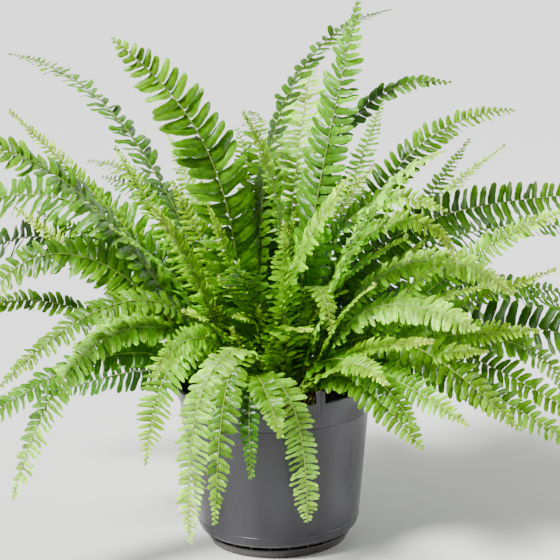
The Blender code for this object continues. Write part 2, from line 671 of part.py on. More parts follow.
def grow_leaflets(ribs, still):
    """The tips of every frond's leaflets. One that would meet another piece is bent clear, or else shortened."""
    rib_points, rib_faces, rib_owner = [], [], []
    for i, rib in enumerate(ribs):
        points, faces = rib_mesh(rib)
        start = len(rib_points)
        rib_points += list(points)
        rib_faces += [tuple(start + c for c in face) for face in faces]
        rib_owner += [i] * len(faces)
    all_ribs = tree_of(rib_points, rib_faces)
    placed_points, placed_faces, tips = [], [], []
    for i, rib in enumerate(ribs):
        placed = tree_of(placed_points, placed_faces) if placed_faces else None
        pairs = pairs_of(rib.frond)
        first = len(rib.path) - 1 - pairs
        own = {}
        for k in range(first, first + pairs - 1):
            share = (k - first + 0.5) / pairs
            for side in (1, -1):
                for size, lift in product(LEAFLET_SIZES, LEAFLET_LIFTS):
                    reach = leaflet_reach(rib.frond, share) * size + rib.half[k]
                    tip = leaflet_tip(rib, k, side, reach, lift)
                    probe = tree_of(*leaflet_probe(rib, k, side, tip, CLEARANCE))
                    if any(rib_owner[b] != i for _, b in probe.overlap(all_ribs)):
                        continue
                    if not (placed and probe.overlap(placed)) and not probe.overlap(still):
                        own[k, side] = tip
                        break
        for (k, side), tip in own.items():
            points, faces = leaflet_probe(rib, k, side, tip, 0.0)
            start = len(placed_points)
            placed_points += points
            placed_faces += [tuple(start + c for c in face) for face in faces]
        tips.append(own)
    return tips


def frond_mesh(rib, tips):
    """The whole frond as one closed solid: a three-sided rib with a thin leaflet on each side of each stretch."""
    right, left, keel = rib_corners(rib)
    count = len(rib.path)
    points = list(np.concatenate([right, left, keel]))
    faces = [(0, count, 2 * count), (count - 1, 3 * count - 1, 2 * count - 1)]
    for k in range(count - 1):
        r, l, d = k, count + k, 2 * count + k
        faces += [(r, r + 1, l + 1), (r, l + 1, l)]
        for side, edge in ((1, r), (-1, l)):
            tip = tips.get((k, side))
            if tip is None:
                made = [(edge, d, d + 1), (edge, d + 1, edge + 1)]
            else:
                normal = (rib.normal[k] + rib.normal[k + 1]) / 2
                top = len(points)
                low = top + 1
                points += [tip, tip - normal * BLADE_TIP]
                made = [(edge, top, edge + 1), (d, d + 1, low)]
                made += [(edge, d, low), (edge, low, top), (edge + 1, top, low), (edge + 1, low, d + 1)]
            faces += made if side > 0 else [tuple(reversed(face)) for face in made]
    return points, faces


def crown_mound(look):
    """The low mound of old stem bases that the middle fronds grow from."""
    profile = [(0, SOIL_TOP + GAP), (CROWN_RADIUS, SOIL_TOP + GAP)]
    for share in (0.97, 0.85, 0.6, 0.3):
        profile.append((CROWN_RADIUS * share, SOIL_TOP + GAP + CROWN_HEIGHT * (1 - share**6)))
    profile.append((0, SOIL_TOP + GAP + CROWN_HEIGHT))
    return turned("crown", profile, look)


def make_fronds(crown, ring, roots, still, looks):
    """The crown with its fronds fused to it, and each other frond as a node of its own."""
    fronds = crown + ring
    feet = [CROWN_FOOT] * len(crown) + [SOIL_FOOT] * len(ring)
    grown = [growth(frond, root, foot) for frond, root, foot in zip(fronds, roots, feet)]
    paths = [lift_over_rim(path) for path, _ in grown]
    shapes = [widths(len(path)) for path in paths]
    paths = bend_clear(paths, [half for half, _ in shapes])
    ribs = []
    for frond, path, (_, angles), (half, keel) in zip(fronds, paths, grown, shapes):
        ribs.append(Rib(frond, path, *frames(path, angles, frond), half, keel))
    tips = grow_leaflets(ribs, still)
    middle = crown_mound(looks["fresh"])
    fused = []
    for i, (rib, own) in enumerate(zip(ribs, tips)):
        points, faces = frond_mesh(rib, own)
        if i < len(crown):
            fused.append(solid("young", points, faces, looks[rib.frond.tone]))
        else:
            solid(f"frond_{i - len(crown) + 1:02d}", points, faces, looks[rib.frond.tone])
    combine(middle, fused, "UNION")


def main():
    clear_scene()
    grey = material("pot_plastic", (0.085, 0.085, 0.092), 0.42)
    brown = material("soil", (0.030, 0.020, 0.013), 0.95)
    looks = {tone: material("leaf_" + tone, colour, 0.45) for tone, colour in TONES.items()}
    ring = SOIL_FRONDS + back_fronds()
    roots = spread_roots(CROWN_FRONDS + ring)
    pot = make_pot(grey)
    make_saucer(grey)
    soil = make_soil(ring, roots[len(CROWN_FRONDS):], brown)
    make_fronds(CROWN_FRONDS, ring, roots, mesh_tree([pot, soil]), looks)


main()
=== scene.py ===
"""Looks of a potted boston fern: fine fronds, a lumpy crown and soil, and a smooth pot on its saucer.

The shapes are worked out in millimetres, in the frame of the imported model, and scaled once, where
meshes are made.
"""

import math
import random
from collections import namedtuple

import bpy
import numpy as np
from mathutils import Matrix, Vector


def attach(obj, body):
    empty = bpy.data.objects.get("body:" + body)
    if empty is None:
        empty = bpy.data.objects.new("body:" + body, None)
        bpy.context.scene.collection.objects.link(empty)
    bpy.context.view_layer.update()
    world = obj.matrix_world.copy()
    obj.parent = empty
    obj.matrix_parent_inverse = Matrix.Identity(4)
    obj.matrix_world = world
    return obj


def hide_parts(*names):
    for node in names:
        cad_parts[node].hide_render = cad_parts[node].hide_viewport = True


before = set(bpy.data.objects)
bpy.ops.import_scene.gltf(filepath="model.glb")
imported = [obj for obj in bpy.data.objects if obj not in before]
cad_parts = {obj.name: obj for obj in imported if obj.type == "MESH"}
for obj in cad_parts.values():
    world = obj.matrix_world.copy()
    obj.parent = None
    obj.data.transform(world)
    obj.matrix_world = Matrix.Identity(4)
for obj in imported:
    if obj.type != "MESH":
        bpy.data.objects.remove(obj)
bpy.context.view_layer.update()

MM = 0.001

# Camera
CAMERA_DISTANCE = 1647.8
CAMERA_HEIGHT = 611.3
CAMERA_PITCH = 12.11
CAMERA_ROLL = -1.67
CAMERA_YAW = 0.29
CAMERA_LENS = 112.5

# Pot and saucer
TURNS = 180
POT_TOP = 157.0
RIM_RADIUS = 95.0
RIM_BAND = 9.5
WALL_TOP_RADIUS = 93.4
SHOULDER_RADIUS = 79.8
SHOULDER_HEIGHT = 24.0
BASE_RADIUS = 71.5
POT_UNDERSIDE = 11.8
WALL = 2.4
FEET = 24
FOOT_RING = 69.8
LUGS = 3
LUG_ANGLE = 297.0
LUG_WIDTH = 8.5
LUG_DEPTH = 3.0
LUG_RISE = 12.0
LUG_ROOT = 10.0
SAUCER_HEIGHT = 9.3
SAUCER_RIM_RADIUS = 71.3
SAUCER_FOOT_RADIUS = 67.3
SAUCER_WALL = 2.2
RING_DROP = 25.0
RING_SINK = 0.55
RING_BEAD = 0.75
SHOULDER_BEAD = 0.8
BASE_STEPS = 8
LIP = 1.0
# The greys of the pot and of the saucer: each one's own grey, and the lighter grey of its painted sheen
# streaks
POT_GREYS = ((0.034, 0.033, 0.038), (0.058, 0.057, 0.065))
SAUCER_GREYS = ((0.045, 0.042, 0.040), (0.058, 0.054, 0.051))

# Soil and crown
GAP = 0.3
SOIL_TOP = 138.0
SOIL_RADIUS = 88.6
CROWN_RADIUS = 32.0
CROWN_HEIGHT = 12.0
CROWN_TURNS = 96
CROWN_LUMPS = 0.9

# Fronds
GROW_FROM = 141.0
GROWTH_STEPS = 160
BEND_SOFTNESS = 0.16
BARE_SHARE = 0.16
STEM_MIDDLE = 0.45
BARE_STATION = 3
LEAFLET_PITCH = 24.0
FEWEST_PAIRS = 6
MOST_PAIRS = 13
STEM_WIDTH = 2.6
TIP_WIDTH = 0.9
STEM_TAPER = 1.2
ROOM_FOR_STEMS = 0.9
BEND_STEPS = 240
BEND_LOOK = 12
BEND_SHARE = 0.6
NEAR_ROOM = 9.0
TOUCHING = 0.2
TINY = 1e-9
RIM_ROOM = 4.0
RIM_REACH = 8.0
RIM_LOOKS = 9
LUG_SPREAD = 0.09
HOLE_DEPTH = 14.0
CROWN_FOOT = SOIL_TOP + 1.0
SOIL_FOOT = SOIL_TOP - HOLE_DEPTH + 2.0
SEED = 5

# Young shoots low on the crown. Past the azimuth FRONT_FROM they stand at the front.
SHOOT_SEED = 8
SHOOTS = 24
SHOOT_LENGTHS = (70.0, 120.0)
SHOOT_REACH = 15.0
SHOOT_RING = (8.0, 28.0)
SHOOT_SWING = 8.0
SHOOT_TURN = 50.0
SHOOT_RISE = 75
SHOOT_HANG = -20
SHOOT_PLACE = 0.6
FRONT_FROM = 190.0
FRONT_HANG = 50

# The soil's lumps, and the loose bits on it
LUMP_HEIGHT = 0.8
EDGE_CALM = 6
CRUMB_SIDES = 5
CRUMB_SINK = 0.6

# Studio, in metres and watts
FLOOR_RADIUS = 30.0
FLOOR_DROP = -0.0003
HORIZON_LIGHT = 1.45
ZENITH_LIGHT = 0.5
FRONT_LIGHT = 0.32
SUN_ANGLE = 15.0
SUN_POWER = 9.3
SUN_PLACE = (-1.35, -0.95, 2.2)
PLANT_MIDDLE = Vector((0, 0, 0.25))

# A frond's stem stands on its ring at its bearing, and leans towards its azimuth, both from +X towards
# +Y. The frond climbs at its rise angle, bends over about its place along the length, and its tip points
# at its hang angle. Sweep is how far the tip swings to the left, turn is how far the blade turns about
# its rib, and reach is the longest leaflet.
Frond = namedtuple("Frond", "ring bearing azimuth length rise hang place sweep turn reach tone")

RINGS = {"heart": 13.0, "inner": 26.0, "middle": 37.0, "outer": 46.0}
ROOT_SPACING = 6.6
CROWN_ROOTS = 29.0
SOIL_ROOTS = (36.0, 56.0)
SPREAD_STEPS = 300
SPREAD_SHARE = 0.3

# Fronds that grow out of the crown in the middle, the tallest and the youngest.
CROWN_FRONDS = [Frond(*row) for row in (
    ("heart", 330, 330, 400, 80, 75, 0.4, 0, 70, 28, "mid"),
    ("heart", 165, 30, 450, 90, 5, 0.8, 10, 0, 23, "dark"),
    ("heart", 70, 75, 350, 75, 50, 0.5, 0, 0, 31, "pale"),
    ("heart", 20, 205, 290, 90, 55, 0.9, 10, -60, 16, "fresh"),
    ("heart", 215, 320, 260, 85, 50, 0.4, 0, 50, 21, "fresh"),
    ("heart", 270, 285, 210, 65, 65, 0.4, -10, 20, 20, "fresh"),
    ("heart", 45, 45, 210, 90, 60, 0.9, 0, 0, 6, "fresh"),
    ("heart", 170, 180, 230, 75, 65, 0.5, 0, -60, 17, "fresh"),
    ("heart", 210, 220, 210, 80, 65, 0.6, 0, -60, 18, "fresh"),
    ("heart", 125, 125, 300, 60, 50, 0.6, 0, -60, 18, "fresh"),
    ("heart", 190, 170, 280, 65, 60, 0.4, 0, -40, 18, "fresh"),
    ("heart", 0, 345, 390, 85, -10, 0.9, 0, 40, 25, "dark"),
    ("inner", 190, 190, 390, 90, 40, 0.7, 0, -70, 36, "mid"),
    ("inner", 175, 175, 360, 60, 45, 0.5, 0, -40, 16, "fresh"),
    ("inner", 210, 205, 230, 70, 50, 0.9, 0, -40, 21, "fresh"),
    ("inner", 160, 155, 300, 65, 20, 0.3, 0, -50, 16, "fresh"),
    ("inner", 145, 145, 470, 65, 5, 0.8, 0, 0, 26, "mid"),
    ("inner", 60, 55, 330, 60, 50, 0.5, 0, 0, 18, "mid"),
    ("inner", 30, 30, 340, 50, 25, 0.7, 0, 10, 16, "fresh"),
    ("inner", 345, 340, 290, 85, -30, 0.8, 0, 40, 21, "fresh"),
    ("inner", 335, 330, 220, 90, 30, 0.4, 0, 30, 13, "fresh"),
    ("inner", 310, 320, 340, 65, 15, 0.9, -30, 20, 26, "pale"),
    ("inner", 240, 255, 220, 90, 25, 0.4, 10, 0, 29, "dark"),
    ("inner", 275, 210, 150, 85, 40, 0.6, 0, 10, 26, "fresh"),
    ("inner", 0, 350, 200, 60, 40, 0.6, 0, 40, 16, "mid"),
    ("inner", 225, 230, 160, 60, 15, 0.8, 10, -20, 17, "fresh"),
    ("inner", 250, 220, 130, 90, 5, 0.7, 20, -20, 13, "fresh"),
    ("inner", 290, 280, 160, 80, 5, 0.5, 0, 0, 22, "fresh"),
    ("inner", 320, 290, 210, 85, -85, 0.8, 0, 0, 16, "mid"),
    ("heart", 95, 95, 330, 90, -10, 0.9, 0, 0, 22, "mid"),
    ("inner", 110, 110, 270, 90, 40, 0.9, 0, 0, 20, "mid"),
    ("heart", 85, 85, 350, 70, 40, 0.3, 0, 0, 24, "pale"),
    ("heart", 50, 50, 270, 75, 30, 0.5, 0, 20, 16, "fresh"),
    ("inner", 180, 180, 280, 70, -30, 0.7, 0, -60, 25, "dark"),
    ("inner", 185, 190, 190, 40, -10, 0.5, 0, -40, 18, "dark"),
    ("inner", 200, 200, 210, 50, -60, 0.9, 0, -20, 14, "fresh"),
    ("inner", 230, 230, 190, 60, -50, 0.7, 0, -60, 16, "fresh"),
    ("inner", 340, 340, 290, 65, -40, 0.7, 0, 30, 18, "pale"),
    ("inner", 35, 30, 160, 45, -50, 0.5, 0, 20, 20, "dark"),
    ("inner", 65, 60, 170, 50, -50, 0.5, 0, 0, 20, "mid"),
    ("inner", 100, 90, 160, 50, -50, 0.5, 0, 0, 20, "dark"),
)]

# Fronds that stand in the soil round the crown, each in its own hole.
SOIL_FRONDS = [Frond(*row) for row in (
    ("middle", 200, 195, 420, 60, -10, 0.9, 0, -30, 31, "mid"),
    ("middle", 150, 155, 440, 60, -25, 0.6, 0, -40, 32, "mid"),
    ("middle", 165, 165, 290, 45, 35, 0.4, 0, -50, 14, "fresh"),
    ("middle", 130, 140, 330, 70, 0, 0.7, 0, -20, 20, "mid"),
    ("middle", 220, 215, 240, 65, 35, 0.7, 0, -20, 20, "fresh"),
    ("middle", 10, 5, 370, 75, 0, 0.8, 0, 50, 22, "mid"),
    ("middle", 40, 40, 330, 45, 40, 0.6, 0, 20, 16, "dark"),
    ("middle", 345, 345, 320, 45, 20, 0.8, 0, 50, 18, "fresh"),
    ("middle", 20, 25, 410, 60, -10, 0.4, 0, 40, 20, "dark"),
    ("middle", 330, 330, 220, 50, 40, 0.8, 0, 40, 18, "fresh"),
    ("middle", 320, 335, 230, 45, 10, 0.8, 0, 30, 14, "fresh"),
    ("middle", 305, 305, 200, 55, 25, 0.8, -10, 30, 9, "fresh"),
    ("middle", 225, 220, 170, 85, -60, 0.6, 0, -10, 21, "fresh"),
    ("middle", 5, 5, 410, 90, 0, 0.3, 0, 70, 24, "dark"),
    ("middle", 315, 330, 300, 75, -75, 0.9, 0, 30, 18, "fresh"),
    ("outer", 150, 150, 440, 45, -60, 0.7, 0, -40, 29, "dark"),
    ("outer", 190, 190, 340, 60, -85, 0.8, 0, -40, 26, "mid"),
    ("outer", 140, 140, 300, 80, 5, 0.6, 0, -40, 22, "dark"),
    ("outer", 340, 345, 270, 75, -30, 0.6, 0, 30, 21, "fresh"),
    ("outer", 350, 350, 260, 40, 20, 0.5, 0, 40, 14, "fresh"),
    ("outer", 10, 10, 330, 70, -15, 0.3, 0, 30, 20, "dark"),
    ("outer", 0, 10, 330, 50, -30, 0.5, 0, 20, 20, "dark"),
    ("outer", 180, 190, 310, 40, -35, 0.8, 0, -40, 16, "mid"),
    ("outer", 210, 210, 350, 70, -70, 0.4, 0, -20, 20, "pale"),
    ("outer", 200, 215, 330, 80, -35, 0.4, 0, -30, 19, "mid"),
    ("outer", 220, 205, 330, 55, -30, 0.3, 0, -30, 20, "mid"),
    ("middle", 205, 205, 200, 55, -25, 0.7, 0, -30, 18, "fresh"),
    ("outer", 170, 165, 190, 30, -20, 0.3, 0, -60, 20, "dark"),
    ("outer", 225, 225, 230, 90, -80, 0.4, 0, -30, 21, "fresh"),
    ("outer", 260, 235, 300, 90, -85, 0.3, 10, 0, 18, "pale"),
    ("outer", 245, 255, 270, 90, -75, 0.3, 0, 0, 17, "mid"),
    ("outer", 255, 260, 190, 70, -70, 0.4, 10, 0, 12, "dark"),
    ("outer", 235, 280, 210, 60, -20, 0.3, 0, 0, 16, "mid"),
    ("outer", 240, 305, 210, 90, -90, 0.2, 0, 20, 16, "pale"),
    ("outer", 320, 325, 240, 75, -20, 0.5, 0, 30, 20, "pale"),
    ("outer", 310, 320, 180, 65, 10, 0.3, 0, 30, 16, "fresh"),
    ("outer", 330, 330, 190, 30, 0, 0.8, 0, 30, 16, "fresh"),
    ("middle", 350, 340, 240, 55, 5, 0.2, 0, 50, 18, "fresh"),
    ("outer", 355, 345, 300, 30, -90, 0.8, 0, 40, 17, "mid"),
    ("middle", 325, 330, 280, 75, -40, 0.3, 0, 40, 24, "mid"),
    ("middle", 335, 340, 300, 50, -30, 0.2, 0, 40, 21, "mid"),
    ("middle", 355, 345, 330, 80, -30, 0.1, 0, 40, 20, "mid"),
    ("outer", 315, 320, 200, 55, -25, 0.3, 0, 30, 18, "fresh"),
    ("outer", 305, 310, 190, 65, -40, 0.3, 10, 30, 20, "mid"),
    ("outer", 295, 315, 200, 70, -45, 0.4, 0, 30, 18, "mid"),
    ("middle", 300, 305, 170, 40, -30, 0.8, 0, 20, 16, "fresh"),
    ("outer", 20, 10, 330, 40, -15, 0.3, 0, 70, 36, "dark"),
)]

# Short dry fronds that lie on the soil inside the rim, and how far out each stands.
DRY_FRONDS = [Frond(*row) for row in (
    ("outer", 311, 150, 42, 70, -40, 0.5, 0, 30, 9, "dry"),
    ("outer", 304, 200, 36, 50, -30, 0.4, 0, -20, 8, "dry"),
    ("outer", 322, 120, 38, 60, -50, 0.5, 0, 10, 8, "dry"),
    ("outer", 284, 60, 34, 40, -20, 0.5, 0, 0, 7, "dry"),
)]
DRY_SEED = 9
DRY_RADIUS = 73.0

# Fronds at the back, which follow a rule with small seeded differences.
BACK_SEED = 11
BACK_COUNT = 9
BACK_FIRST = 34.0
BACK_STEP = 12.0
BACK_LENGTHS = (300.0, 350.0)
BACK_RISES = (58.0, 65.0, 72.0)
BACK_HANGS = (-48.0, -60.0)
BACK_PLACE = 0.45
BACK_REACH = 23.0
LENGTH_DRIFT = 15.0
RISE_DRIFT = 3.0
HANG_DRIFT = 8.0
PLACE_DRIFT = 0.08
TURN_DRIFT = 20.0


def either_way(draw, most):
    """A seeded difference of at most this much, up or down."""
    return draw.uniform(-most, most)


def back_fronds():
    """The fronds at the back, evenly spread, long and short in turn."""
    draw = random.Random(BACK_SEED)
    fronds = []
    for i in range(BACK_COUNT):
        azimuth = BACK_FIRST + BACK_STEP * i
        length = BACK_LENGTHS[i % 2] + either_way(draw, LENGTH_DRIFT)
        rise = BACK_RISES[i % 3] + either_way(draw, RISE_DRIFT)
        hang = BACK_HANGS[i % 2] + either_way(draw, HANG_DRIFT)
        place = BACK_PLACE + either_way(draw, PLACE_DRIFT)
        turn = either_way(draw, TURN_DRIFT)
        tone = ("mid", "dark", "mid", "fresh")[i % 4]
        bow = (length, rise, hang, place)
        fronds.append(Frond("outer", azimuth, azimuth, *bow, 0, turn, BACK_REACH, tone))
    return fronds


def spread_roots(fronds):
    """Where each stem stands: on its ring at its bearing, and then moved apart from its neighbours."""
    bearings = np.radians([frond.bearing for frond in fronds])
    radii = np.array([RINGS[frond.ring] for frond in fronds])
    fused = np.array([frond.ring in ("heart", "inner") for frond in fronds])
    spots = np.stack([radii * np.cos(bearings), radii * np.sin(bearings)], axis=1)
    for _ in range(SPREAD_STEPS):
        way = spots[None] - spots[:, None]
        apart = np.linalg.norm(way, axis=2)
        np.fill_diagonal(apart, np.inf)
        lack = np.maximum(ROOT_SPACING - apart, 0)
        spots -= (way / apart[..., None] * lack[..., None]).sum(axis=1) * SPREAD_SHARE
        radius = np.linalg.norm(spots, axis=1)
        held = np.where(fused, np.minimum(radius, CROWN_ROOTS), np.clip(radius, *SOIL_ROOTS))
        spots *= (held / radius)[:, None]
    return spots


def pairs_of(frond):
    """How many pairs of leaflets a frond carries."""
    count = round(frond.length * (1 - BARE_SHARE) / LEAFLET_PITCH)
    return max(FEWEST_PAIRS, min(MOST_PAIRS, count))


def growth(frond, root, foot):
    """The stations along a frond's rib, from its hidden foot over its bare stem, and their angles."""
    pairs = pairs_of(frond)
    shares = [0.0, BARE_SHARE * STEM_MIDDLE, BARE_SHARE]
    shares += [BARE_SHARE + (1 - BARE_SHARE) * (i + 1) / pairs for i in range(pairs)]
    along = (np.arange(GROWTH_STEPS) + 0.5) / GROWTH_STEPS

    def bent(share):
        return 1 / (1 + np.exp(-(share - frond.place) / BEND_SOFTNESS))

    over = (bent(along) - bent(0.0)) / (bent(1.0) - bent(0.0))
    angle = np.radians(frond.rise + (frond.hang - frond.rise) * over)
    out = np.concatenate([[0], np.cumsum(np.cos(angle))]) * frond.length / GROWTH_STEPS
    up = np.concatenate([[0], np.cumsum(np.sin(angle))]) * frond.length / GROWTH_STEPS
    ends = np.arange(GROWTH_STEPS + 1) / GROWTH_STEPS
    way = math.radians(frond.azimuth)
    spots, angles = [], []
    for share in shares:
        side = frond.sweep * share**2
        reach = np.interp(share, ends, out)
        x = root[0] + reach * math.cos(way) - side * math.sin(way)
        y = root[1] + reach * math.sin(way) + side * math.cos(way)
        spots.append((x, y, GROW_FROM + np.interp(share, ends, up)))
        angles.append(np.interp(share, along, angle))
    spots.insert(0, (*root, foot))
    angles.insert(0, math.pi / 2)
    angles[1] = math.pi / 2
    return np.array(spots), np.array(angles)


def half_widths(count):
    """Half the rib's width at each station, from the root to the tip."""
    share = np.linspace(0, 1, count) ** STEM_TAPER
    half = (STEM_WIDTH + (TIP_WIDTH - STEM_WIDTH) * share) / 2
    half[:2] = STEM_WIDTH / 2
    return half


def closest(a0, a1, b0, b1):
    """For rows of segment pairs, the shares along them where they are nearest, and the way between."""
    u, v, w = a1 - a0, b1 - b0, a0 - b0
    uu, uv, vv = (u * u).sum(1), (u * v).sum(1), (v * v).sum(1)
    uw, vw = (u * w).sum(1), (v * w).sum(1)
    flat = np.maximum(uu * vv - uv * uv, TINY)
    s = np.clip((uv * vw - vv * uw) / flat, 0, 1)
    t = np.clip((uv * s + vw) / vv, 0, 1)
    s = np.clip((uv * t - uw) / uu, 0, 1)
    return s, t, (b0 + v * t[:, None]) - (a0 + u * s[:, None])


def near_stretches(spots, first, owner):
    """The pairs of stretches of different ribs that lie close enough to meet."""
    middle = (spots[first] + spots[first + 1]) / 2
    half = np.linalg.norm(spots[first + 1] - spots[first], axis=1) / 2
    apart = np.linalg.norm(middle[:, None] - middle[None], axis=2)
    near = apart < half[:, None] + half[None] + NEAR_ROOM
    return np.nonzero(np.triu(near, 1) & (owner[first][:, None] != owner[first][None]))


def bend_clear(paths):
    """Moves the stations of ribs that would touch until each pair keeps its room. Roots stay."""
    owner = np.concatenate([np.full(len(path), i) for i, path in enumerate(paths)])
    spots = np.concatenate(paths)
    room = np.concatenate([half_widths(len(path)) for path in paths])
    first = np.flatnonzero(owner[:-1] == owner[1:])
    loose = np.concatenate([np.arange(len(path)) > 1 for path in paths])
    for step in range(BEND_STEPS):
        if step % BEND_LOOK == 0:
            i, j = near_stretches(spots, first, owner)
            ends = (first[i], first[i] + 1, first[j], first[j] + 1)
            need = room[ends[0]] + room[ends[2]] + ROOM_FOR_STEMS
        s, t, way = closest(*(spots[end] for end in ends))
        gap = np.linalg.norm(way, axis=1)
        across = np.cross(spots[ends[1]] - spots[ends[0]], spots[ends[3]] - spots[ends[2]])
        across /= np.linalg.norm(across, axis=1)[:, None] + TINY
        push = np.where(gap[:, None] > TOUCHING, way / (gap[:, None] + TINY), across)
        push *= np.maximum(need - gap, 0)[:, None] * BEND_SHARE
        tight = (gap < need).astype(float)
        shift = np.zeros_like(spots)
        weight = np.zeros(len(spots))
        for end, part, sign in zip(ends, (1 - s, s, 1 - t, t), (-1, -1, 1, 1)):
            np.add.at(shift, end, sign * push * part[:, None])
            np.add.at(weight, end, tight * part)
        spots[loose] += (shift / np.maximum(weight, 1)[:, None])[loose]
    starts = np.cumsum([0] + [len(path) for path in paths])
    return [spots[a:b] for a, b in zip(starts, starts[1:])]


def rim_height(x, y):
    """How high the pot reaches at its rim on this side, with its lugs."""
    for i in range(LUGS):
        turn = math.atan2(y, x) - math.radians(LUG_ANGLE) - 2 * math.pi * i / LUGS
        if abs(math.remainder(turn, 2 * math.pi)) < LUG_SPREAD:
            return POT_TOP + LUG_RISE
    return POT_TOP


def lift_over_rim(path):
    """Raises the stations near the pot's rim until the rib passes over it."""
    for k in range(2, len(path)):
        for share in np.linspace(0, 1, RIM_LOOKS):
            x, y, z = path[k - 1] + (path[k] - path[k - 1]) * share
            lack = rim_height(x, y) + RIM_ROOM - z
            if RIM_RADIUS - RIM_REACH < math.hypot(x, y) < RIM_RADIUS + RIM_ROOM and lack > 0:
                path[k:, 2] += lack
                if k > 2:
                    path[k - 1, 2] += lack
    return path


# How a tone of frond looks: the colours of its leaflets, of its tip and of the rib, how widely its
# leaflets are spaced, how fast they shorten towards the frond's tip, how wide they are for their spacing,
# how pointed, how far their edges fold down, how much they rise, droop, ruffle and curl, how far they
# lean, and whether the tip is still rolled up.
FIELDS = "colour tip rib spacing taper width point fold lift droop ruffle curl lean rolled"
Style = namedtuple("Style", FIELDS, defaults=(False,))

STYLES = {
    "dark": Style(
        colour=(0.034, 0.135, 0.002), tip=(0.10, 0.28, 0.003), rib=(0.15, 0.24, 0.03),
        spacing=1.10, taper=5.0, width=0.85, point=0.15, fold=0.28, lift=6, droop=0.18,
        ruffle=0.20, curl=16, lean=80),
    "mid": Style(
        colour=(0.082, 0.255, 0.002), tip=(0.23, 0.49, 0.004), rib=(0.26, 0.37, 0.06),
        spacing=1.06, taper=5.0, width=0.82, point=0.24, fold=0.32, lift=8, droop=0.22,
        ruffle=0.26, curl=18, lean=80),
    "fresh": Style(
        colour=(0.190, 0.500, 0.001), tip=(0.50, 0.76, 0.006), rib=(0.34, 0.47, 0.07),
        spacing=0.94, taper=5.0, width=0.84, point=0.70, fold=0.46, lift=14, droop=0.26,
        ruffle=0.36, curl=22, lean=78, rolled=True),
    "pale": Style(
        colour=(0.250, 0.575, 0.026), tip=(0.47, 0.80, 0.055), rib=(0.38, 0.51, 0.13),
        spacing=0.80, taper=10.0, width=0.82, point=0.10, fold=0.34, lift=6, droop=0.28,
        ruffle=0.38, curl=12, lean=84),
    "dry": Style(
        colour=(0.170, 0.055, 0.016), tip=(0.30, 0.13, 0.045), rib=(0.12, 0.05, 0.02),
        spacing=0.90, taper=4.0, width=0.80, point=0.40, fold=0.60, lift=15, droop=0.70,
        ruffle=0.60, curl=45, lean=60),
}

# The rib: its colour at the foot, where along it the green begins, and its round section
STEM_COLOUR = (0.15, 0.14, 0.05)
GREEN_FROM = 0.3
RIB_SIDES = 6
RIB_STEP = 7.0
FEWEST_RIB_RINGS = 6
RIB_RADIUS = 1.10
RIB_TIP_RADIUS = 0.35
NO_RIB_WAY = np.array([0.31, 0.17, 0.94])
SHARP_ANGLE = 50.0

# The rolled tip of a frond that is still opening
ROLLED_COLOUR = (0.48, 0.62, 0.16)
ROLLED_RADIUS = 1.7
ROLLED_THICKNESS = (0.5, 1.0)
ROLLED_TURNS = 1.3
ROLLED_STEPS = 12
ROLLED_CLOSING = 0.65

# How closely leaflets stand, and how long they are: near the stem they are a share of the reach
PITCH_BASE = 3.0
PITCH_SHARE = 0.225
TIP_CROWDING = 0.50
FIRST_LEAFLET = 0.6
LEAFLET_GAIN = 2.0
SMALLEST_LEAFLET = 3.8
LAST_LEAFLET = 0.8

# The shape of a leaflet. Near the stem it is wider by this share for each millimetre of the reach.
MOST_HALF_WIDTH = 4.9
HALF_WIDTH_SHARE = 0.42
BASE_WIDENING = 0.010
LEAFLET_THICKNESS = 0.34
TIP_THINNING = 0.6
LEAFLET_BOW = 0.09
MIDRIB_DEPTH = 0.05
DROOP_POWER = 2.2
EDGE_WAVES = 8.0
SWAY_WAVES = 5.0
SWAY_SHARE = 0.18
SCALLOP = 0.04

# How leaflets are turned, in degrees, and how much they differ in turn and in size
LEAN_FORWARD = 12.0
OVERLAP_ROLL = 15.0
TWIST = 8.0
TWIST_WAVES = 5.0
LEAN_SPREAD = 4.5
LIFT_SPREAD = 6.0
ROLL_SPREAD = 7.0
LENGTHS = (0.88, 1.07)
WIDTHS = (0.92, 1.08)
ANY_PHASE = 6.0

# How light a leaflet is round each ring of points, edge to edge and then below, at its point and at
# its base, with the gain along it, and how much leaflets and fronds differ. The lighter edges are partly
# the leaflet's pale margin and partly painted highlight. The darkening from the point to the base, by the
# rib, is painted shade.
RING_LIGHT = (1.26, 0.80, 1.14, 0.80, 1.26, 1.10)
POINT_LIGHT = 1.2
BASE_LIGHT = 0.78
LIGHT_GAIN = 0.44
SHADE_SPREAD = 0.20
SHADES = (0.55, 1.6)
WARMTH_SPREAD = 0.10
WARMTH = np.array([1.0, 0.1, 0.3])

# Where on a frond the colour of its tip begins, how it grows, and how much of it each leaflet has
TIP_COLOUR_FROM = 0.6
TIP_COLOUR_POWER = 1.4
TIP_COLOUR_ALONG = 0.20
TIP_COLOUR_SPREAD = 0.06

# Stations along a leaflet, its half width there when blunt and when pointed, and how its two edges
# differ: the edge towards the frond's tip has a lobe at the base.
STATIONS = np.array([0.0, 0.05, 0.14, 0.28, 0.43, 0.58, 0.72, 0.85, 0.95, 1.0])
BLUNT = np.array([0.80, 1.0, 1.0, 0.98, 0.95, 0.93, 0.90, 0.80, 0.54, 0.0])
POINTED = np.array([0.80, 1.0, 1.0, 0.94, 0.83, 0.70, 0.54, 0.36, 0.18, 0.0])
UPPER_EDGE = np.array([1.20, 1.36, 1.16, 1.0, 1.0, 1.0, 1.0, 1.0, 1.0, 1.0])
LOWER_EDGE = np.array([0.80, 0.88, 0.96, 1.0, 1.0, 1.0, 1.0, 1.0, 1.0, 1.0])

# The places of the points across a leaflet's upper face. Each ring has one more point, below.
ACROSS = np.array([-1.0, -0.5, 0.0, 0.5, 1.0])
RING = len(ACROSS) + 1


def leaf_size(frond, style, share):
    """The length of a leaflet at this share of the leafy length."""
    return frond.reach * min(1.0, FIRST_LEAFLET + LEAFLET_GAIN * share) * (1 - share**style.taper)


Curve = namedtuple("Curve", "chord path slope angles")


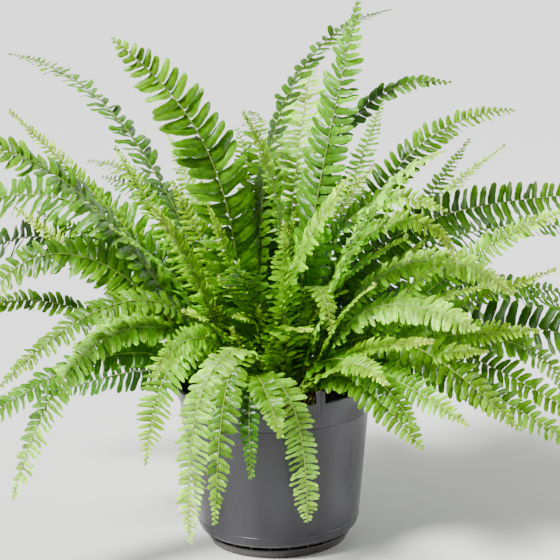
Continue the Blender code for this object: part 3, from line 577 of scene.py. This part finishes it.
def unit(vectors):
    """The vectors, each made one long."""
    return vectors / (np.linalg.norm(vectors, axis=-1, keepdims=True) + TINY)


def curve_through(path, angles):
    """A smooth curve through a rib's stations, measured along its chords."""
    chord = np.concatenate([[0], np.cumsum(np.linalg.norm(np.diff(path, axis=0), axis=1))])
    return Curve(chord, path, np.gradient(path, chord, axis=0), angles)


def on_curve(curve, along):
    """The points, directions and bend angles of a curve at these distances along it."""
    last = len(curve.chord) - 2
    k = np.clip(np.searchsorted(curve.chord, along, side="right") - 1, 0, last)
    span = (curve.chord[k + 1] - curve.chord[k])[:, None]
    t = (along - curve.chord[k])[:, None] / span
    p0, p1 = curve.path[k], curve.path[k + 1]
    m0, m1 = curve.slope[k] * span, curve.slope[k + 1] * span
    spots = (2 * t**3 - 3 * t**2 + 1) * p0 + (t**3 - 2 * t**2 + t) * m0
    spots += (3 * t**2 - 2 * t**3) * p1 + (t**3 - t**2) * m1
    ahead = (6 * t**2 - 6 * t) * (p0 - p1) + (3 * t**2 - 4 * t + 1) * m0 + (3 * t**2 - 2 * t) * m1
    return spots, unit(ahead), np.interp(along, curve.chord, curve.angles)


def blade_frame(frond, ahead, angles, twist):
    """The blade's upper normal and its right-hand side at each point of a rib."""
    way = math.radians(frond.azimuth)
    level = np.array([math.cos(way), math.sin(way), 0.0])
    normal = -np.sin(angles)[:, None] * level + np.cos(angles)[:, None] * np.array([0.0, 0.0, 1.0])
    normal = unit(normal - (normal * ahead).sum(1)[:, None] * ahead)
    right = np.cross(ahead, normal)
    turn = (math.radians(frond.turn) + twist)[:, None]
    normal = normal * np.cos(turn) + right * np.sin(turn)
    return normal, np.cross(ahead, normal)


def leaflet_places(frond, style, start, end):
    """For each leaflet how far along the rib it stands, its side, its share, its length and its room."""
    pitch = (PITCH_BASE + PITCH_SHARE * frond.reach) * style.spacing
    places = []
    for side, late in ((1, 0.0), (-1, 0.5)):
        along = start + late * pitch
        while along < end - LAST_LEAFLET:
            share = (along - start) / (end - start)
            size = max(leaf_size(frond, style, share), SMALLEST_LEAFLET)
            step = pitch * (TIP_CROWDING + (1 - TIP_CROWDING) * min(1.0, size / frond.reach))
            places.append((along, side, share, size, step))
            along += step
    return np.array(places)


def leaflet_points(frond, style, curve, places, draw):
    """The corners of all leaflets of a frond, in rings from each one's base to its tip."""
    along, side, share, size, step = places.T
    count = len(along)
    spots, ahead, angles = on_curve(curve, along)
    twist = np.radians(TWIST) * np.sin(share * TWIST_WAVES + draw.uniform(0, ANY_PHASE))
    normal, right = blade_frame(frond, ahead, angles, twist)
    lean = style.lean - LEAN_FORWARD * share + draw.normal(0, LEAN_SPREAD, count)
    lean = np.radians(lean)[:, None]
    lift = np.radians(style.lift + draw.normal(0, LIFT_SPREAD, count))[:, None]
    axis = right * side[:, None] * np.sin(lean) + ahead * np.cos(lean)
    axis = unit(axis * np.cos(lift) + normal * np.sin(lift))
    across = unit(ahead - (ahead * axis).sum(1)[:, None] * axis)
    up = np.cross(axis, across) * side[:, None]
    roll = np.radians(OVERLAP_ROLL + draw.normal(0, ROLL_SPREAD, count))[:, None]
    spin = roll + np.radians(draw.normal(0, style.curl, count))[:, None] * STATIONS
    cos, sin = np.cos(spin)[..., None], np.sin(spin)[..., None]
    flat = across[:, None] * cos - up[:, None] * sin
    tall = up[:, None] * cos + across[:, None] * sin
    length = (size * draw.uniform(*LENGTHS, count))[:, None]
    half = np.minimum(0.5 * step * style.width, MOST_HALF_WIDTH) * draw.uniform(*WIDTHS, count)
    half = half * (1 + BASE_WIDENING * frond.reach * (1 - share))
    half = np.minimum(half, HALF_WIDTH_SHARE * length[:, 0])[:, None]
    wave = np.sin(STATIONS * EDGE_WAVES + draw.uniform(0, ANY_PHASE, count)[:, None])
    sway = np.sin(STATIONS * SWAY_WAVES + draw.uniform(0, ANY_PHASE, count)[:, None])
    middle = spots[:, None] + axis[:, None] * (STATIONS * length)[..., None]
    middle = middle + flat * (LEAFLET_BOW * length * STATIONS**2)[..., None]
    rise = -style.droop * length * STATIONS**DROOP_POWER
    rise = rise + style.ruffle * SWAY_SHARE * length * sway * STATIONS
    middle = middle + up[:, None] * rise[..., None]
    shape = BLUNT * (1 - style.point) + POINTED * style.point
    shape = half * shape * (1 + SCALLOP * np.where(np.arange(len(STATIONS)) % 2, 1, -1))
    rings = []
    for place in ACROSS:
        edge = UPPER_EDGE if place > 0 else LOWER_EDGE
        dip = -style.fold * place**2 + style.ruffle * place * abs(place) * wave
        dip = dip - MIDRIB_DEPTH * (place == 0)
        rings.append(middle + flat * (shape * edge * place)[..., None] + tall * (shape * dip)[..., None])
    thick = LEAFLET_THICKNESS * (1 - TIP_THINNING * STATIONS) + MIDRIB_DEPTH * shape
    rings.append(middle - tall * thick[..., None])
    corners = np.stack(rings, axis=2)
    return np.concatenate([corners[:, :-1].reshape(count, -1, 3), middle[:, -1:]], axis=1)


def flipped(faces):
    """The faces, turned inside out."""
    return [tuple(reversed(face)) for face in faces]


def bands(rings, size):
    """The faces between rings of this many points, numbered from the first ring on."""
    faces = []
    for a in range(0, (rings - 1) * size, size):
        for c in range(size):
            d = (c + 1) % size
            faces.append((a + c, a + size + c, a + size + d, a + d))
    return faces


def caps(count, size):
    """The two end faces of a stack of rings of this size, with so many points in all."""
    return [tuple(range(size)), tuple(reversed(range(count - size, count)))]


def leaflet_faces(side):
    """The faces of one leaflet: along it, at its base, and round its tip."""
    rings = len(STATIONS) - 1
    last, tip = RING * (rings - 1), RING * rings
    faces = bands(rings, RING) + [tuple(range(RING))]
    faces += [(last + c, tip, last + (c + 1) % RING) for c in range(RING)]
    return faces if side > 0 else flipped(faces)


def leaflet_colours(style, places, draw):
    """A colour for each corner of each leaflet: darker towards the rib with painted shade, lighter on the
    midrib, and lighter on the edges with a pale margin and painted highlight.
    """
    share = places[:, 2]
    shades = draw.normal(0, 1.0, len(places))
    along = np.append(np.repeat(STATIONS[:-1], RING), 1.0)
    light = np.append(np.tile(RING_LIGHT, len(STATIONS) - 1), POINT_LIGHT)
    tip = np.clip((share - TIP_COLOUR_FROM) / (1 - TIP_COLOUR_FROM), 0, 1)[:, None] ** TIP_COLOUR_POWER
    mix = tip + TIP_COLOUR_ALONG * along[None] ** 2 + TIP_COLOUR_SPREAD * shades[:, None]
    mix = np.clip(mix, 0, 1)[..., None]
    colour = np.array(style.colour) * (1 - mix) + np.array(style.tip) * mix
    warmth = 1 + WARMTH_SPREAD * draw.normal(0, 1.0) * WARMTH
    shade = np.clip(1 + SHADE_SPREAD * shades, *SHADES)[:, None]
    # Painted shade and highlight: each leaflet darkens from its point towards its base by the rib, and
    # its edges are lighter
    shade = shade * light[None] * (BASE_LIGHT + LIGHT_GAIN * along[None])
    return colour * shade[..., None] * warmth


def tube(spots, ahead, radius):
    """The points and faces of a closed tube. Its sides are laid out from a way that no rib takes."""
    side = unit(np.cross(ahead, NO_RIB_WAY))
    over = np.cross(side, ahead)
    turns = 2 * np.pi * np.arange(RIB_SIDES) / RIB_SIDES
    turns = turns[None, :, None]
    ring = side[:, None] * np.cos(turns) + over[:, None] * np.sin(turns)
    points = (spots[:, None] + ring * radius[:, None, None]).reshape(-1, 3)
    return points, bands(len(spots), RIB_SIDES) + caps(len(points), RIB_SIDES)


def rib_tube(curve, style):
    """The tube along a rib, from its hidden foot to its tip, with a colour for each corner."""
    count = max(FEWEST_RIB_RINGS, int(curve.chord[-1] / RIB_STEP))
    along = np.linspace(0, curve.chord[-1], count)
    spots, ahead, _ = on_curve(curve, along)
    share = along / curve.chord[-1]
    points, faces = tube(spots, ahead, RIB_RADIUS + (RIB_TIP_RADIUS - RIB_RADIUS) * share)
    mix = np.clip(share / GREEN_FROM, 0, 1)[:, None]
    colour = np.array(STEM_COLOUR) * (1 - mix) + np.array(style.rib) * mix
    return points, faces, np.repeat(colour, RIB_SIDES, axis=0)


def rolled_tip(frond, curve):
    """The small rolled end of a frond that is still opening."""
    spots, ahead, angles = on_curve(curve, curve.chord[-1:])
    normal, _ = blade_frame(frond, ahead, angles, np.zeros(1))
    turn = np.linspace(0, 2 * np.pi * ROLLED_TURNS, ROLLED_STEPS)[:, None]
    radius = ROLLED_RADIUS * (1 - ROLLED_CLOSING * turn / turn[-1])
    centre = spots[0] + normal[0] * ROLLED_RADIUS
    spiral = centre + radius * (np.sin(turn) * ahead[0] - np.cos(turn) * normal[0])
    ahead = unit(np.gradient(spiral, axis=0))
    points, faces = tube(spiral, ahead, np.linspace(*ROLLED_THICKNESS, ROLLED_STEPS))
    return points, faces, np.tile(ROLLED_COLOUR, (len(points), 1))


def polar(radius, angle):
    """A point in the plane, from how far out it is and which way."""
    return radius * math.cos(angle), radius * math.sin(angle)


def joined(shapes):
    """Several shapes as one list of points and one of faces."""
    points, faces = [], []
    for more, sides in shapes:
        start = len(points)
        points += list(more)
        faces += [tuple(start + c for c in side) for side in sides]
    return points, faces


def piece(name, points, faces, look, node, slot, colours=None):
    """A closed piece of the scene that stands for a node. Points are in millimetres."""
    mesh = bpy.data.meshes.new(name)
    mesh.from_pydata((np.asarray(points, float) * MM).tolist(), [], faces)
    if colours is not None:
        layer = mesh.color_attributes.new("tint", "FLOAT_COLOR", "POINT")
        rgba = np.concatenate([colours, np.ones((len(colours), 1))], axis=1)
        layer.data.foreach_set("color", rgba.astype(np.float32).ravel())
    mesh.shade_smooth()
    mesh.set_sharp_from_angle(angle=math.radians(SHARP_ANGLE))
    mesh.materials.append(look)
    obj = bpy.data.objects.new(name, mesh)
    bpy.context.scene.collection.objects.link(obj)
    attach(obj, "root")
    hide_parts(node)


def fine_frond(name, node, frond, path, angles, look, draw):
    """One frond: its rib, its rolled tip if it has one, and all of its leaflets."""
    style = STYLES[frond.tone]
    curve = curve_through(path, angles)
    tubes = [rib_tube(curve, style)]
    if style.rolled:
        tubes.append(rolled_tip(frond, curve))
    places = leaflet_places(frond, style, curve.chord[BARE_STATION], curve.chord[-1])
    leaflets = leaflet_points(frond, style, curve, places, draw)
    patterns = {side: leaflet_faces(side) for side in (1, -1)}
    shapes = [shape for *shape, _ in tubes]
    shapes += [(points, patterns[side]) for points, side in zip(leaflets, places[:, 1])]
    tints = [tint for *_, tint in tubes] + [leaflet_colours(style, places, draw).reshape(-1, 3)]
    piece(name, *joined(shapes), look, node, "leaf", np.concatenate(tints))


def make_fronds(look):
    """Every frond, fine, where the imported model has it."""
    ring = SOIL_FRONDS + back_fronds()
    fronds = CROWN_FRONDS + ring
    roots = spread_roots(fronds)
    feet = [CROWN_FOOT] * len(CROWN_FRONDS) + [SOIL_FOOT] * len(ring)
    grown = [growth(frond, root, foot) for frond, root, foot in zip(fronds, roots, feet)]
    paths = bend_clear([lift_over_rim(path) for path, _ in grown])
    draw = np.random.default_rng(SEED)
    for i, (frond, path, (_, angles)) in enumerate(zip(fronds, paths, grown)):
        number = i - len(CROWN_FRONDS) + 1
        node = f"frond_{number:02d}" if number > 0 else "crown"
        name = f"leaf_{number:02d}" if number > 0 else f"young_{i + 1:02d}"
        fine_frond(name, node, frond, path, angles, look, draw)


def make_shoots(look):
    """Young shoots low on the crown between the stems: fresh and upright ones at the front."""
    draw = np.random.default_rng(SHOOT_SEED)
    for i in range(SHOOTS):
        azimuth = 360.0 * i / SHOOTS + either_way(draw, SHOOT_SWING)
        length = draw.uniform(*SHOOT_LENGTHS)
        turn = either_way(draw, SHOOT_TURN)
        front = azimuth > FRONT_FROM
        tone = "fresh" if front else ("mid", "dark")[i % 2]
        bow = (length, SHOOT_RISE, FRONT_HANG if front else SHOOT_HANG, SHOOT_PLACE)
        frond = Frond("inner", azimuth, azimuth, *bow, 0, turn, SHOOT_REACH, tone)
        root = polar(draw.uniform(*SHOOT_RING), math.radians(azimuth))
        path, angles = growth(frond, root, CROWN_FOOT)
        fine_frond(f"shoot_{i + 1:02d}", "crown", frond, path, angles, look, draw)


def make_dry_fronds(look):
    """The dry brown ends of old fronds near the rim."""
    draw = np.random.default_rng(DRY_SEED)
    for i, frond in enumerate(DRY_FRONDS):
        root = polar(DRY_RADIUS, math.radians(frond.bearing))
        path, angles = growth(frond, root, SOIL_FOOT)
        fine_frond(f"dry_{i + 1}", "soil", frond, path, angles, look, draw)


def feed(tree, node, inputs):
    """Sets inputs of a shader node: each to a plain value, or to what another node gives."""
    for name, value in inputs.items():
        if isinstance(value, bpy.types.NodeSocket):
            tree.links.new(value, node.inputs[name])
        else:
            node.inputs[name].default_value = value


def added(tree, kind, inputs=None):
    """A new node of a tree, with these inputs set."""
    node = tree.nodes.new(kind)
    feed(tree, node, inputs or {})
    return node


def node_material(name):
    """A new material, its node tree and its Principled shader."""
    look = bpy.data.materials.new(name)
    look.use_nodes = True
    return look, look.node_tree, look.node_tree.nodes["Principled BSDF"]


def noise(tree, scale, detail=2.0, squash=1.0):
    """A noise texture in object space. Its scale is in cycles for a metre."""
    place = added(tree, "ShaderNodeTexCoord").outputs["Object"]
    shape = added(tree, "ShaderNodeMapping", {"Scale": (1, 1, squash), "Vector": place})
    inputs = {"Scale": scale, "Detail": detail, "Vector": shape.outputs["Vector"]}
    return added(tree, "ShaderNodeTexNoise", inputs).outputs["Fac"]


def spread(tree, value, before, after):
    """The value, moved from one range to another."""
    names = ("Value", "From Min", "From Max", "To Min", "To Max")
    inputs = dict(zip(names, (value, *before, *after)))
    return added(tree, "ShaderNodeMapRange", inputs).outputs["Result"]


def patches(tree, low, high, **look):
    """A noise, spread from low to high."""
    return spread(tree, noise(tree, **look), (0.3, 0.7), (low, high))


def mixed(tree, share, first, second):
    """A blend of two colours by a value."""
    made = added(tree, "ShaderNodeMix")
    made.data_type = "RGBA"
    feed(tree, made, {"A": (*first, 1), "B": (*second, 1), "Factor": share})
    return made.outputs["Result"]


def bump(tree, height, strength, distance):
    """The normal that a height gives."""
    inputs = {"Strength": strength, "Distance": distance, "Height": height}
    return added(tree, "ShaderNodeBump", inputs).outputs["Normal"]


def leaf_material():
    """Satin green leaf tissue that lets some light through. Each leaflet's tint, with its painted shade
    and highlight, is in its mesh.
    """
    look, tree, shader = node_material("leaf")
    tint = added(tree, "ShaderNodeVertexColor")
    tint.layer_name = "tint"
    blotches = patches(tree, 0.72, 1.24, scale=260.0, detail=3.0)
    inputs = {"Color": tint.outputs["Color"], "Value": blotches}
    shade = added(tree, "ShaderNodeHueSaturation", inputs).outputs["Color"]
    feed(tree, shader, {
        "Base Color": shade,
        "Roughness": patches(tree, 0.18, 0.36, scale=90.0),
        "Specular IOR Level": 0.34,
        "Normal": bump(tree, noise(tree, scale=620.0, detail=3.0), strength=0.60, distance=0.0006),
    })
    inputs = {"Value": 1.35, "Saturation": 1.2, "Color": shade}
    brighter = added(tree, "ShaderNodeHueSaturation", inputs).outputs["Color"]
    through = added(tree, "ShaderNodeBsdfTranslucent", {"Color": brighter}).outputs["BSDF"]
    both = added(tree, "ShaderNodeMixShader", {0: 0.21, 1: shader.outputs["BSDF"], 2: through})
    feed(tree, tree.nodes["Material Output"], {"Surface": both.outputs["Shader"]})
    return look


def plastic_material(name, colour, lighter):
    """Grey satin moulded plastic with faint upright streaks of painted sheen in its colour, upright
    patches of gloss and a fine grain.
    """
    look, tree, shader = node_material(name)
    # Painted sheen: lighter upright streaks mixed into the grey stand in for soft highlights
    painted_sheen_streaks = patches(tree, 0.0, 1.0, scale=20.0, detail=1.5, squash=0.05)
    feed(tree, shader, {
        "Base Color": mixed(tree, painted_sheen_streaks, colour, lighter),
        "Specular IOR Level": 0.25,
        "Roughness": patches(tree, 0.20, 0.34, scale=30.0, detail=1.5, squash=0.06),
        "Normal": bump(tree, noise(tree, scale=1600.0), strength=0.10, distance=0.0002),
    })
    return look


def crumbly_material(name, dark, light, roughness, scales, detail, depth):
    """A rough broken material: coarse blotches of two colours, and a finer bump of this depth."""
    look, tree, shader = node_material(name)
    blotches = patches(tree, 0.0, 1.0, scale=scales[0], detail=detail)
    feed(tree, shader, {
        "Base Color": mixed(tree, blotches, dark, light),
        "Roughness": roughness,
        "Normal": bump(tree, noise(tree, scales[1], detail), *depth),
    })
    return look


def earth_material():
    """Dark moist potting soil."""
    dark, light = (0.012, 0.008, 0.005), (0.060, 0.038, 0.022)
    return crumbly_material("earth", dark, light, 0.95, (240.0, 700.0), 5.0, (0.9, 0.0015))


def litter_material():
    """Dry brown leaf bits and bark."""
    dark, light = (0.075, 0.035, 0.015), (0.26, 0.12, 0.045)
    return crumbly_material("litter", dark, light, 0.8, (120.0, 500.0), 3.0, (0.6, 0.0008))


def circle(radius, height, turns):
    """A ring of points about the axis, or the one point on it."""
    if radius == 0:
        return [(0, 0, height)]
    return [(*polar(radius, 2 * math.pi * i / turns), height) for i in range(turns)]


def skin(rings):
    """The points and faces of a closed solid, from its rings of points, the upper ones first."""
    points, faces = list(rings[0]), []
    for above, below in zip(rings, rings[1:]):
        a, b = len(points) - len(above), len(points)
        points += below
        count = max(len(above), len(below))
        for i in range(count):
            j = (i + 1) % count
            corners = (a + i % len(above), b + i % len(below), b + j % len(below), a + j % len(above))
            faces.append(tuple(dict.fromkeys(corners)))
    return points, faces


def turned(profile):
    """The points and faces of a turned solid. Its profile runs from the axis below to the axis above."""
    return skin([circle(radius, height, TURNS) for radius, height in reversed(profile)])


def bend(centre, radius, first, last, count):
    """Points along a round bend of a profile, from the first angle to the last, in degrees."""
    angles = [math.radians(first + (last - first) * i / count) for i in range(count + 1)]
    return [(centre[0] + radius * math.cos(a), centre[1] + radius * math.sin(a)) for a in angles]


def wall_radius(height):
    """The outer radius of the pot's tapered wall."""
    share = (height - SHOULDER_HEIGHT) / (POT_TOP - RIM_BAND - SHOULDER_HEIGHT)
    return SHOULDER_RADIUS + (WALL_TOP_RADIUS - SHOULDER_RADIUS) * share


def fine_pot_profile():
    """The pot's profile: a round base, a raised line at the shoulder, a faint ring and the rim band."""
    ring = POT_TOP - RING_DROP
    floor = POT_UNDERSIDE + WALL
    band = POT_TOP - RIM_BAND
    drop = SHOULDER_HEIGHT - POT_UNDERSIDE
    profile = [(0, POT_UNDERSIDE), (BASE_RADIUS - 1.5, POT_UNDERSIDE)]
    for i in range(BASE_STEPS + 1):
        angle = i / BASE_STEPS * math.pi / 2
        swell = (SHOULDER_RADIUS - 0.5 - BASE_RADIUS) * math.sin(angle)
        climb = (drop - 2.0) * (1 - math.cos(angle))
        profile.append((BASE_RADIUS + swell, POT_UNDERSIDE + 0.4 + climb))
    profile += bend((SHOULDER_RADIUS - 0.5, SHOULDER_HEIGHT - 0.3), SHOULDER_BEAD, -60, 60, 5)
    for height in (SHOULDER_HEIGHT + 1.4, ring - 1.2):
        profile.append((wall_radius(height), height))
    profile += bend((wall_radius(ring) - RING_SINK, ring), RING_BEAD, -60, 60, 4)
    profile.append((wall_radius(ring + 1.2), ring + 1.2))
    profile.append((WALL_TOP_RADIUS, band - 0.4))
    profile += bend((RIM_RADIUS - 0.6, band + 0.4), 0.6, -90, 0, 3)
    profile += bend((RIM_RADIUS - LIP, POT_TOP - LIP), LIP, 0, 90, 5)
    profile += bend((RIM_RADIUS - 2.8, POT_TOP - LIP), LIP, 90, 180, 4)
    return profile + [
        (WALL_TOP_RADIUS - WALL - 0.6, POT_TOP - 6.0),
        (SHOULDER_RADIUS - WALL, SHOULDER_HEIGHT + 1.0),
        (SHOULDER_RADIUS - WALL - 2.2, floor + 3.6),
        (BASE_RADIUS - 1.0, floor),
        (0, floor),
    ]


def rounded_box(size, centre, angle, rounding):
    """A box with rounded upright edges and top, whose first side lies along the radius."""
    across, along, height = size[0] / 2, size[1] / 2, size[2] / 2
    outline = []
    for x, y, first in ((1, 1, 0), (-1, 1, 90), (-1, -1, 180), (1, -1, 270)):
        middle = (x * (across - rounding), y * (along - rounding))
        outline += bend(middle, rounding, first, first + 90, 3)
    layers = [(-height, 0.0), (height - rounding, 0.0)]
    for share in (0.5, 0.85, 1.0):
        inset = rounding * (1 - math.sqrt(1 - share**2))
        layers.append((height - rounding + rounding * share, inset))
    cos, sin = math.cos(angle), math.sin(angle)
    points = []
    for z, inset in layers:
        for x, y in outline:
            u = centre[0] + x * (1 - inset / across)
            v = centre[1] + y * (1 - inset / along)
            points.append((u * cos - v * sin, u * sin + v * cos, centre[2] + z))
    sides = len(outline)
    return points, flipped(bands(len(layers), sides) + caps(len(points), sides))


def make_pot(look):
    """The pot's wall, with the lugs of its hanger and the short feet that leave a row of dark slots."""
    shapes = [turned(fine_pot_profile())]
    for i in range(LUGS):
        angle = math.radians(LUG_ANGLE) + 2 * math.pi * i / LUGS
        height = LUG_RISE + LUG_ROOT
        middle = (RIM_RADIUS - 1.2, 0, POT_TOP + LUG_RISE - height / 2)
        shapes.append(rounded_box((LUG_DEPTH, LUG_WIDTH, height), middle, angle, 0.8))
        raised = (RIM_RADIUS + 0.1, -LUG_WIDTH * 0.28, POT_TOP + LUG_RISE - height / 2 - 0.6)
        shapes.append(rounded_box((1.6, 1.1, height - 1.6), raised, angle, 0.4))
    for i in range(FEET):
        angle = 2 * math.pi * (i + 0.5) / FEET
        low, high = SAUCER_HEIGHT + GAP, POT_UNDERSIDE + 0.8
        shapes.append(rounded_box((2.4, 1.4, high - low), (FOOT_RING, 0, (low + high) / 2), angle, 0.3))
    piece("pot_wall", *joined(shapes), look, "pot", "pot")


def make_saucer(look):
    """The saucer with its rounded lip and foot."""
    profile = [(0, 0)]
    profile += bend((SAUCER_FOOT_RADIUS - 0.9, 0.9), 0.9, -90, -20, 4)
    profile.append((SAUCER_RIM_RADIUS - 1.1, SAUCER_HEIGHT - 2.0))
    profile += bend((SAUCER_RIM_RADIUS - 0.5, SAUCER_HEIGHT - 1.3), 0.5, -90, 0, 2)
    profile += bend((SAUCER_RIM_RADIUS - 0.5, SAUCER_HEIGHT - 0.5), 0.5, 0, 90, 3)
    profile += [
        (SAUCER_RIM_RADIUS - SAUCER_WALL - 0.6, SAUCER_HEIGHT),
        (SAUCER_FOOT_RADIUS - SAUCER_WALL, SAUCER_WALL),
        (0, SAUCER_WALL),
    ]
    piece("saucer_dish", *turned(profile), look, "saucer", "saucer")


def lump_height(x, y):
    """A rolling height from a few sine waves, about one high."""
    return (
        math.sin(0.21 * x + 0.4) * math.cos(0.17 * y)
        + 0.6 * math.sin(0.53 * x - 0.31 * y + 1.0)
        + 0.4 * math.sin(1.1 * y + 0.7 * x)
    ) / 2


def mound(radius, rings, turns, base, swell, rough):
    """The lumpy top of a swelling disc, as rings from the middle out. The lumps die down at the edge."""
    layers = []
    for k in range(rings + 1):
        share = k / rings
        level = base + swell * (1 - share**6)
        rougher = rough * min(1.0, (1 - share) * EDGE_CALM)
        spots = circle(radius * share, level, turns)
        layers.append([(x, y, z + rougher * lump_height(x, y)) for x, y, z in spots])
    return layers


def make_soil(look):
    """The soil, lumpy on top and plain inside the pot."""
    rings = mound(SOIL_RADIUS, 60, TURNS, SOIL_TOP - LUMP_HEIGHT, 0.0, LUMP_HEIGHT)
    floor = POT_UNDERSIDE + WALL
    inside = [
        (SHOULDER_RADIUS - WALL - 0.4, SHOULDER_HEIGHT + 1.3),
        (SHOULDER_RADIUS - WALL - 2.6, floor + 3.9),
        (BASE_RADIUS - 1.4, floor + GAP),
        (0, floor + GAP),
    ]
    rings += [circle(radius, height, TURNS) for radius, height in inside]
    piece("soil_bed", *skin(rings), look, "soil", "soil")


def make_crown(look):
    """The mound of old stem bases."""
    base = SOIL_TOP + GAP
    rings = mound(CROWN_RADIUS, 24, CROWN_TURNS, base, CROWN_HEIGHT, CROWN_LUMPS)
    piece("crown_mound", *skin(rings + [circle(0, base, CROWN_TURNS)]), look, "crown", "soil")


def crumb(draw, spot, size):
    """A small uneven lump: a ring of corners between one below and one above."""
    turn = draw.uniform(0, 2 * math.pi)
    x, y, z = spot
    points = [(x, y, z - size * 0.3), (x, y, z + size * draw.uniform(0.25, 0.5))]
    for i in range(CRUMB_SIDES):
        angle = turn + 2 * math.pi * i / CRUMB_SIDES
        across, along = polar(size * draw.uniform(0.35, 0.65), angle)
        points.append((x + across, y + along, z))
    faces = []
    for i in range(CRUMB_SIDES):
        j = (i + 1) % CRUMB_SIDES
        faces += [(1, 2 + i, 2 + j), (0, 2 + j, 2 + i)]
    return points, faces


def make_crumbs(name, look, count, sizes, seed):
    """Loose bits that lie on the soil."""
    draw = random.Random(seed)
    shapes = []
    for _ in range(count):
        radius = SOIL_RADIUS * math.sqrt(draw.uniform(0.12, 0.95))
        x, y = polar(radius, draw.uniform(0, 2 * math.pi))
        z = SOIL_TOP - CRUMB_SINK + LUMP_HEIGHT * lump_height(x, y)
        shapes.append(crumb(draw, (x, y, z), draw.uniform(*sizes)))
    piece(name, *joined(shapes), look, "soil", "soil")


def make_camera():
    """The camera where the photograph was taken from."""
    camera = bpy.data.cameras.new("camera")
    camera.lens = CAMERA_LENS
    holder = bpy.data.objects.new("camera", camera)
    place = Matrix.Translation(Vector((0, -CAMERA_DISTANCE, CAMERA_HEIGHT)) * MM)
    yaw = Matrix.Rotation(math.radians(-CAMERA_YAW), 4, "Z")
    pitch = Matrix.Rotation(math.radians(90 - CAMERA_PITCH), 4, "X")
    roll = Matrix.Rotation(math.radians(CAMERA_ROLL), 4, "Z")
    holder.matrix_world = place @ yaw @ pitch @ roll
    bpy.context.scene.collection.objects.link(holder)
    bpy.context.scene.camera = holder


def soft_light(name, place, width, height, power):
    """An oblong soft light that faces the plant."""
    light = bpy.data.lights.new(name, "AREA")
    light.shape = "RECTANGLE"
    light.size = width
    light.size_y = height
    light.energy = power
    aimed(name, light, place)


def aimed(name, light, place):
    """Puts a light in its place and turns it towards the plant."""
    holder = bpy.data.objects.new(name, light)
    holder.location = place
    holder.rotation_mode = "QUATERNION"
    holder.rotation_quaternion = (PLANT_MIDDLE - Vector(place)).to_track_quat("-Z", "Y")
    bpy.context.scene.collection.objects.link(holder)


def make_floor():
    """A wide pale floor."""
    bpy.ops.mesh.primitive_circle_add(
        vertices=96, radius=FLOOR_RADIUS, fill_type="NGON", location=(0, 0, FLOOR_DROP)
    )
    floor = bpy.context.active_object
    floor.name = "floor"
    look, tree, shader = node_material("floor")
    tint = mixed(tree, noise(tree, scale=1.5), (0.74, 0.73, 0.725), (0.76, 0.75, 0.745))
    feed(tree, shader, {"Base Color": tint, "Roughness": 0.8})
    floor.data.materials.append(look)


def make_surround():
    """A pale surround, brightest at the horizon behind the plant."""
    world = bpy.data.worlds.new("surround")
    world.use_nodes = True
    tree = world.node_tree
    way = added(tree, "ShaderNodeTexCoord").outputs["Generated"]
    parts = added(tree, "ShaderNodeSeparateXYZ", {"Vector": way}).outputs
    climb = spread(tree, parts["Z"], (0.0, 0.6), (1.0, ZENITH_LIGHT / HORIZON_LIGHT))
    depth = spread(tree, parts["Y"], (-0.6, 0.6), (FRONT_LIGHT, HORIZON_LIGHT))
    both = added(tree, "ShaderNodeMath", {0: climb, 1: depth})
    both.operation = "MULTIPLY"
    light = {"Color": (1.0, 0.985, 0.98, 1), "Strength": both.outputs["Value"]}
    feed(tree, tree.nodes["Background"], light)
    bpy.context.scene.world = world


def make_studio():
    """The floor, the surround, a broad soft light from the upper left, and two weaker ones."""
    make_floor()
    make_surround()
    sun = bpy.data.lights.new("window", "SUN")
    sun.angle = math.radians(SUN_ANGLE)
    sun.energy = SUN_POWER
    aimed("window", sun, SUN_PLACE)
    soft_light("fill", (2.0, -0.15, 0.75), width=0.16, height=1.0, power=24)
    soft_light("back", (0.6, 1.5, 1.6), width=1.2, height=1.2, power=8)


def main():
    make_camera()
    make_studio()
    leaf = leaf_material()
    make_fronds(leaf)
    make_shoots(leaf)
    make_dry_fronds(leaf)
    make_pot(plastic_material("pot_grey", *POT_GREYS))
    make_saucer(plastic_material("saucer_grey", *SAUCER_GREYS))
    earth = earth_material()
    make_soil(earth)
    make_crown(litter_material())
    make_crumbs("soil_crumbs", earth, count=420, sizes=(1.5, 5.0), seed=3)
    make_crumbs("soil_bark", litter_material(), count=60, sizes=(3.0, 7.0), seed=4)


main()
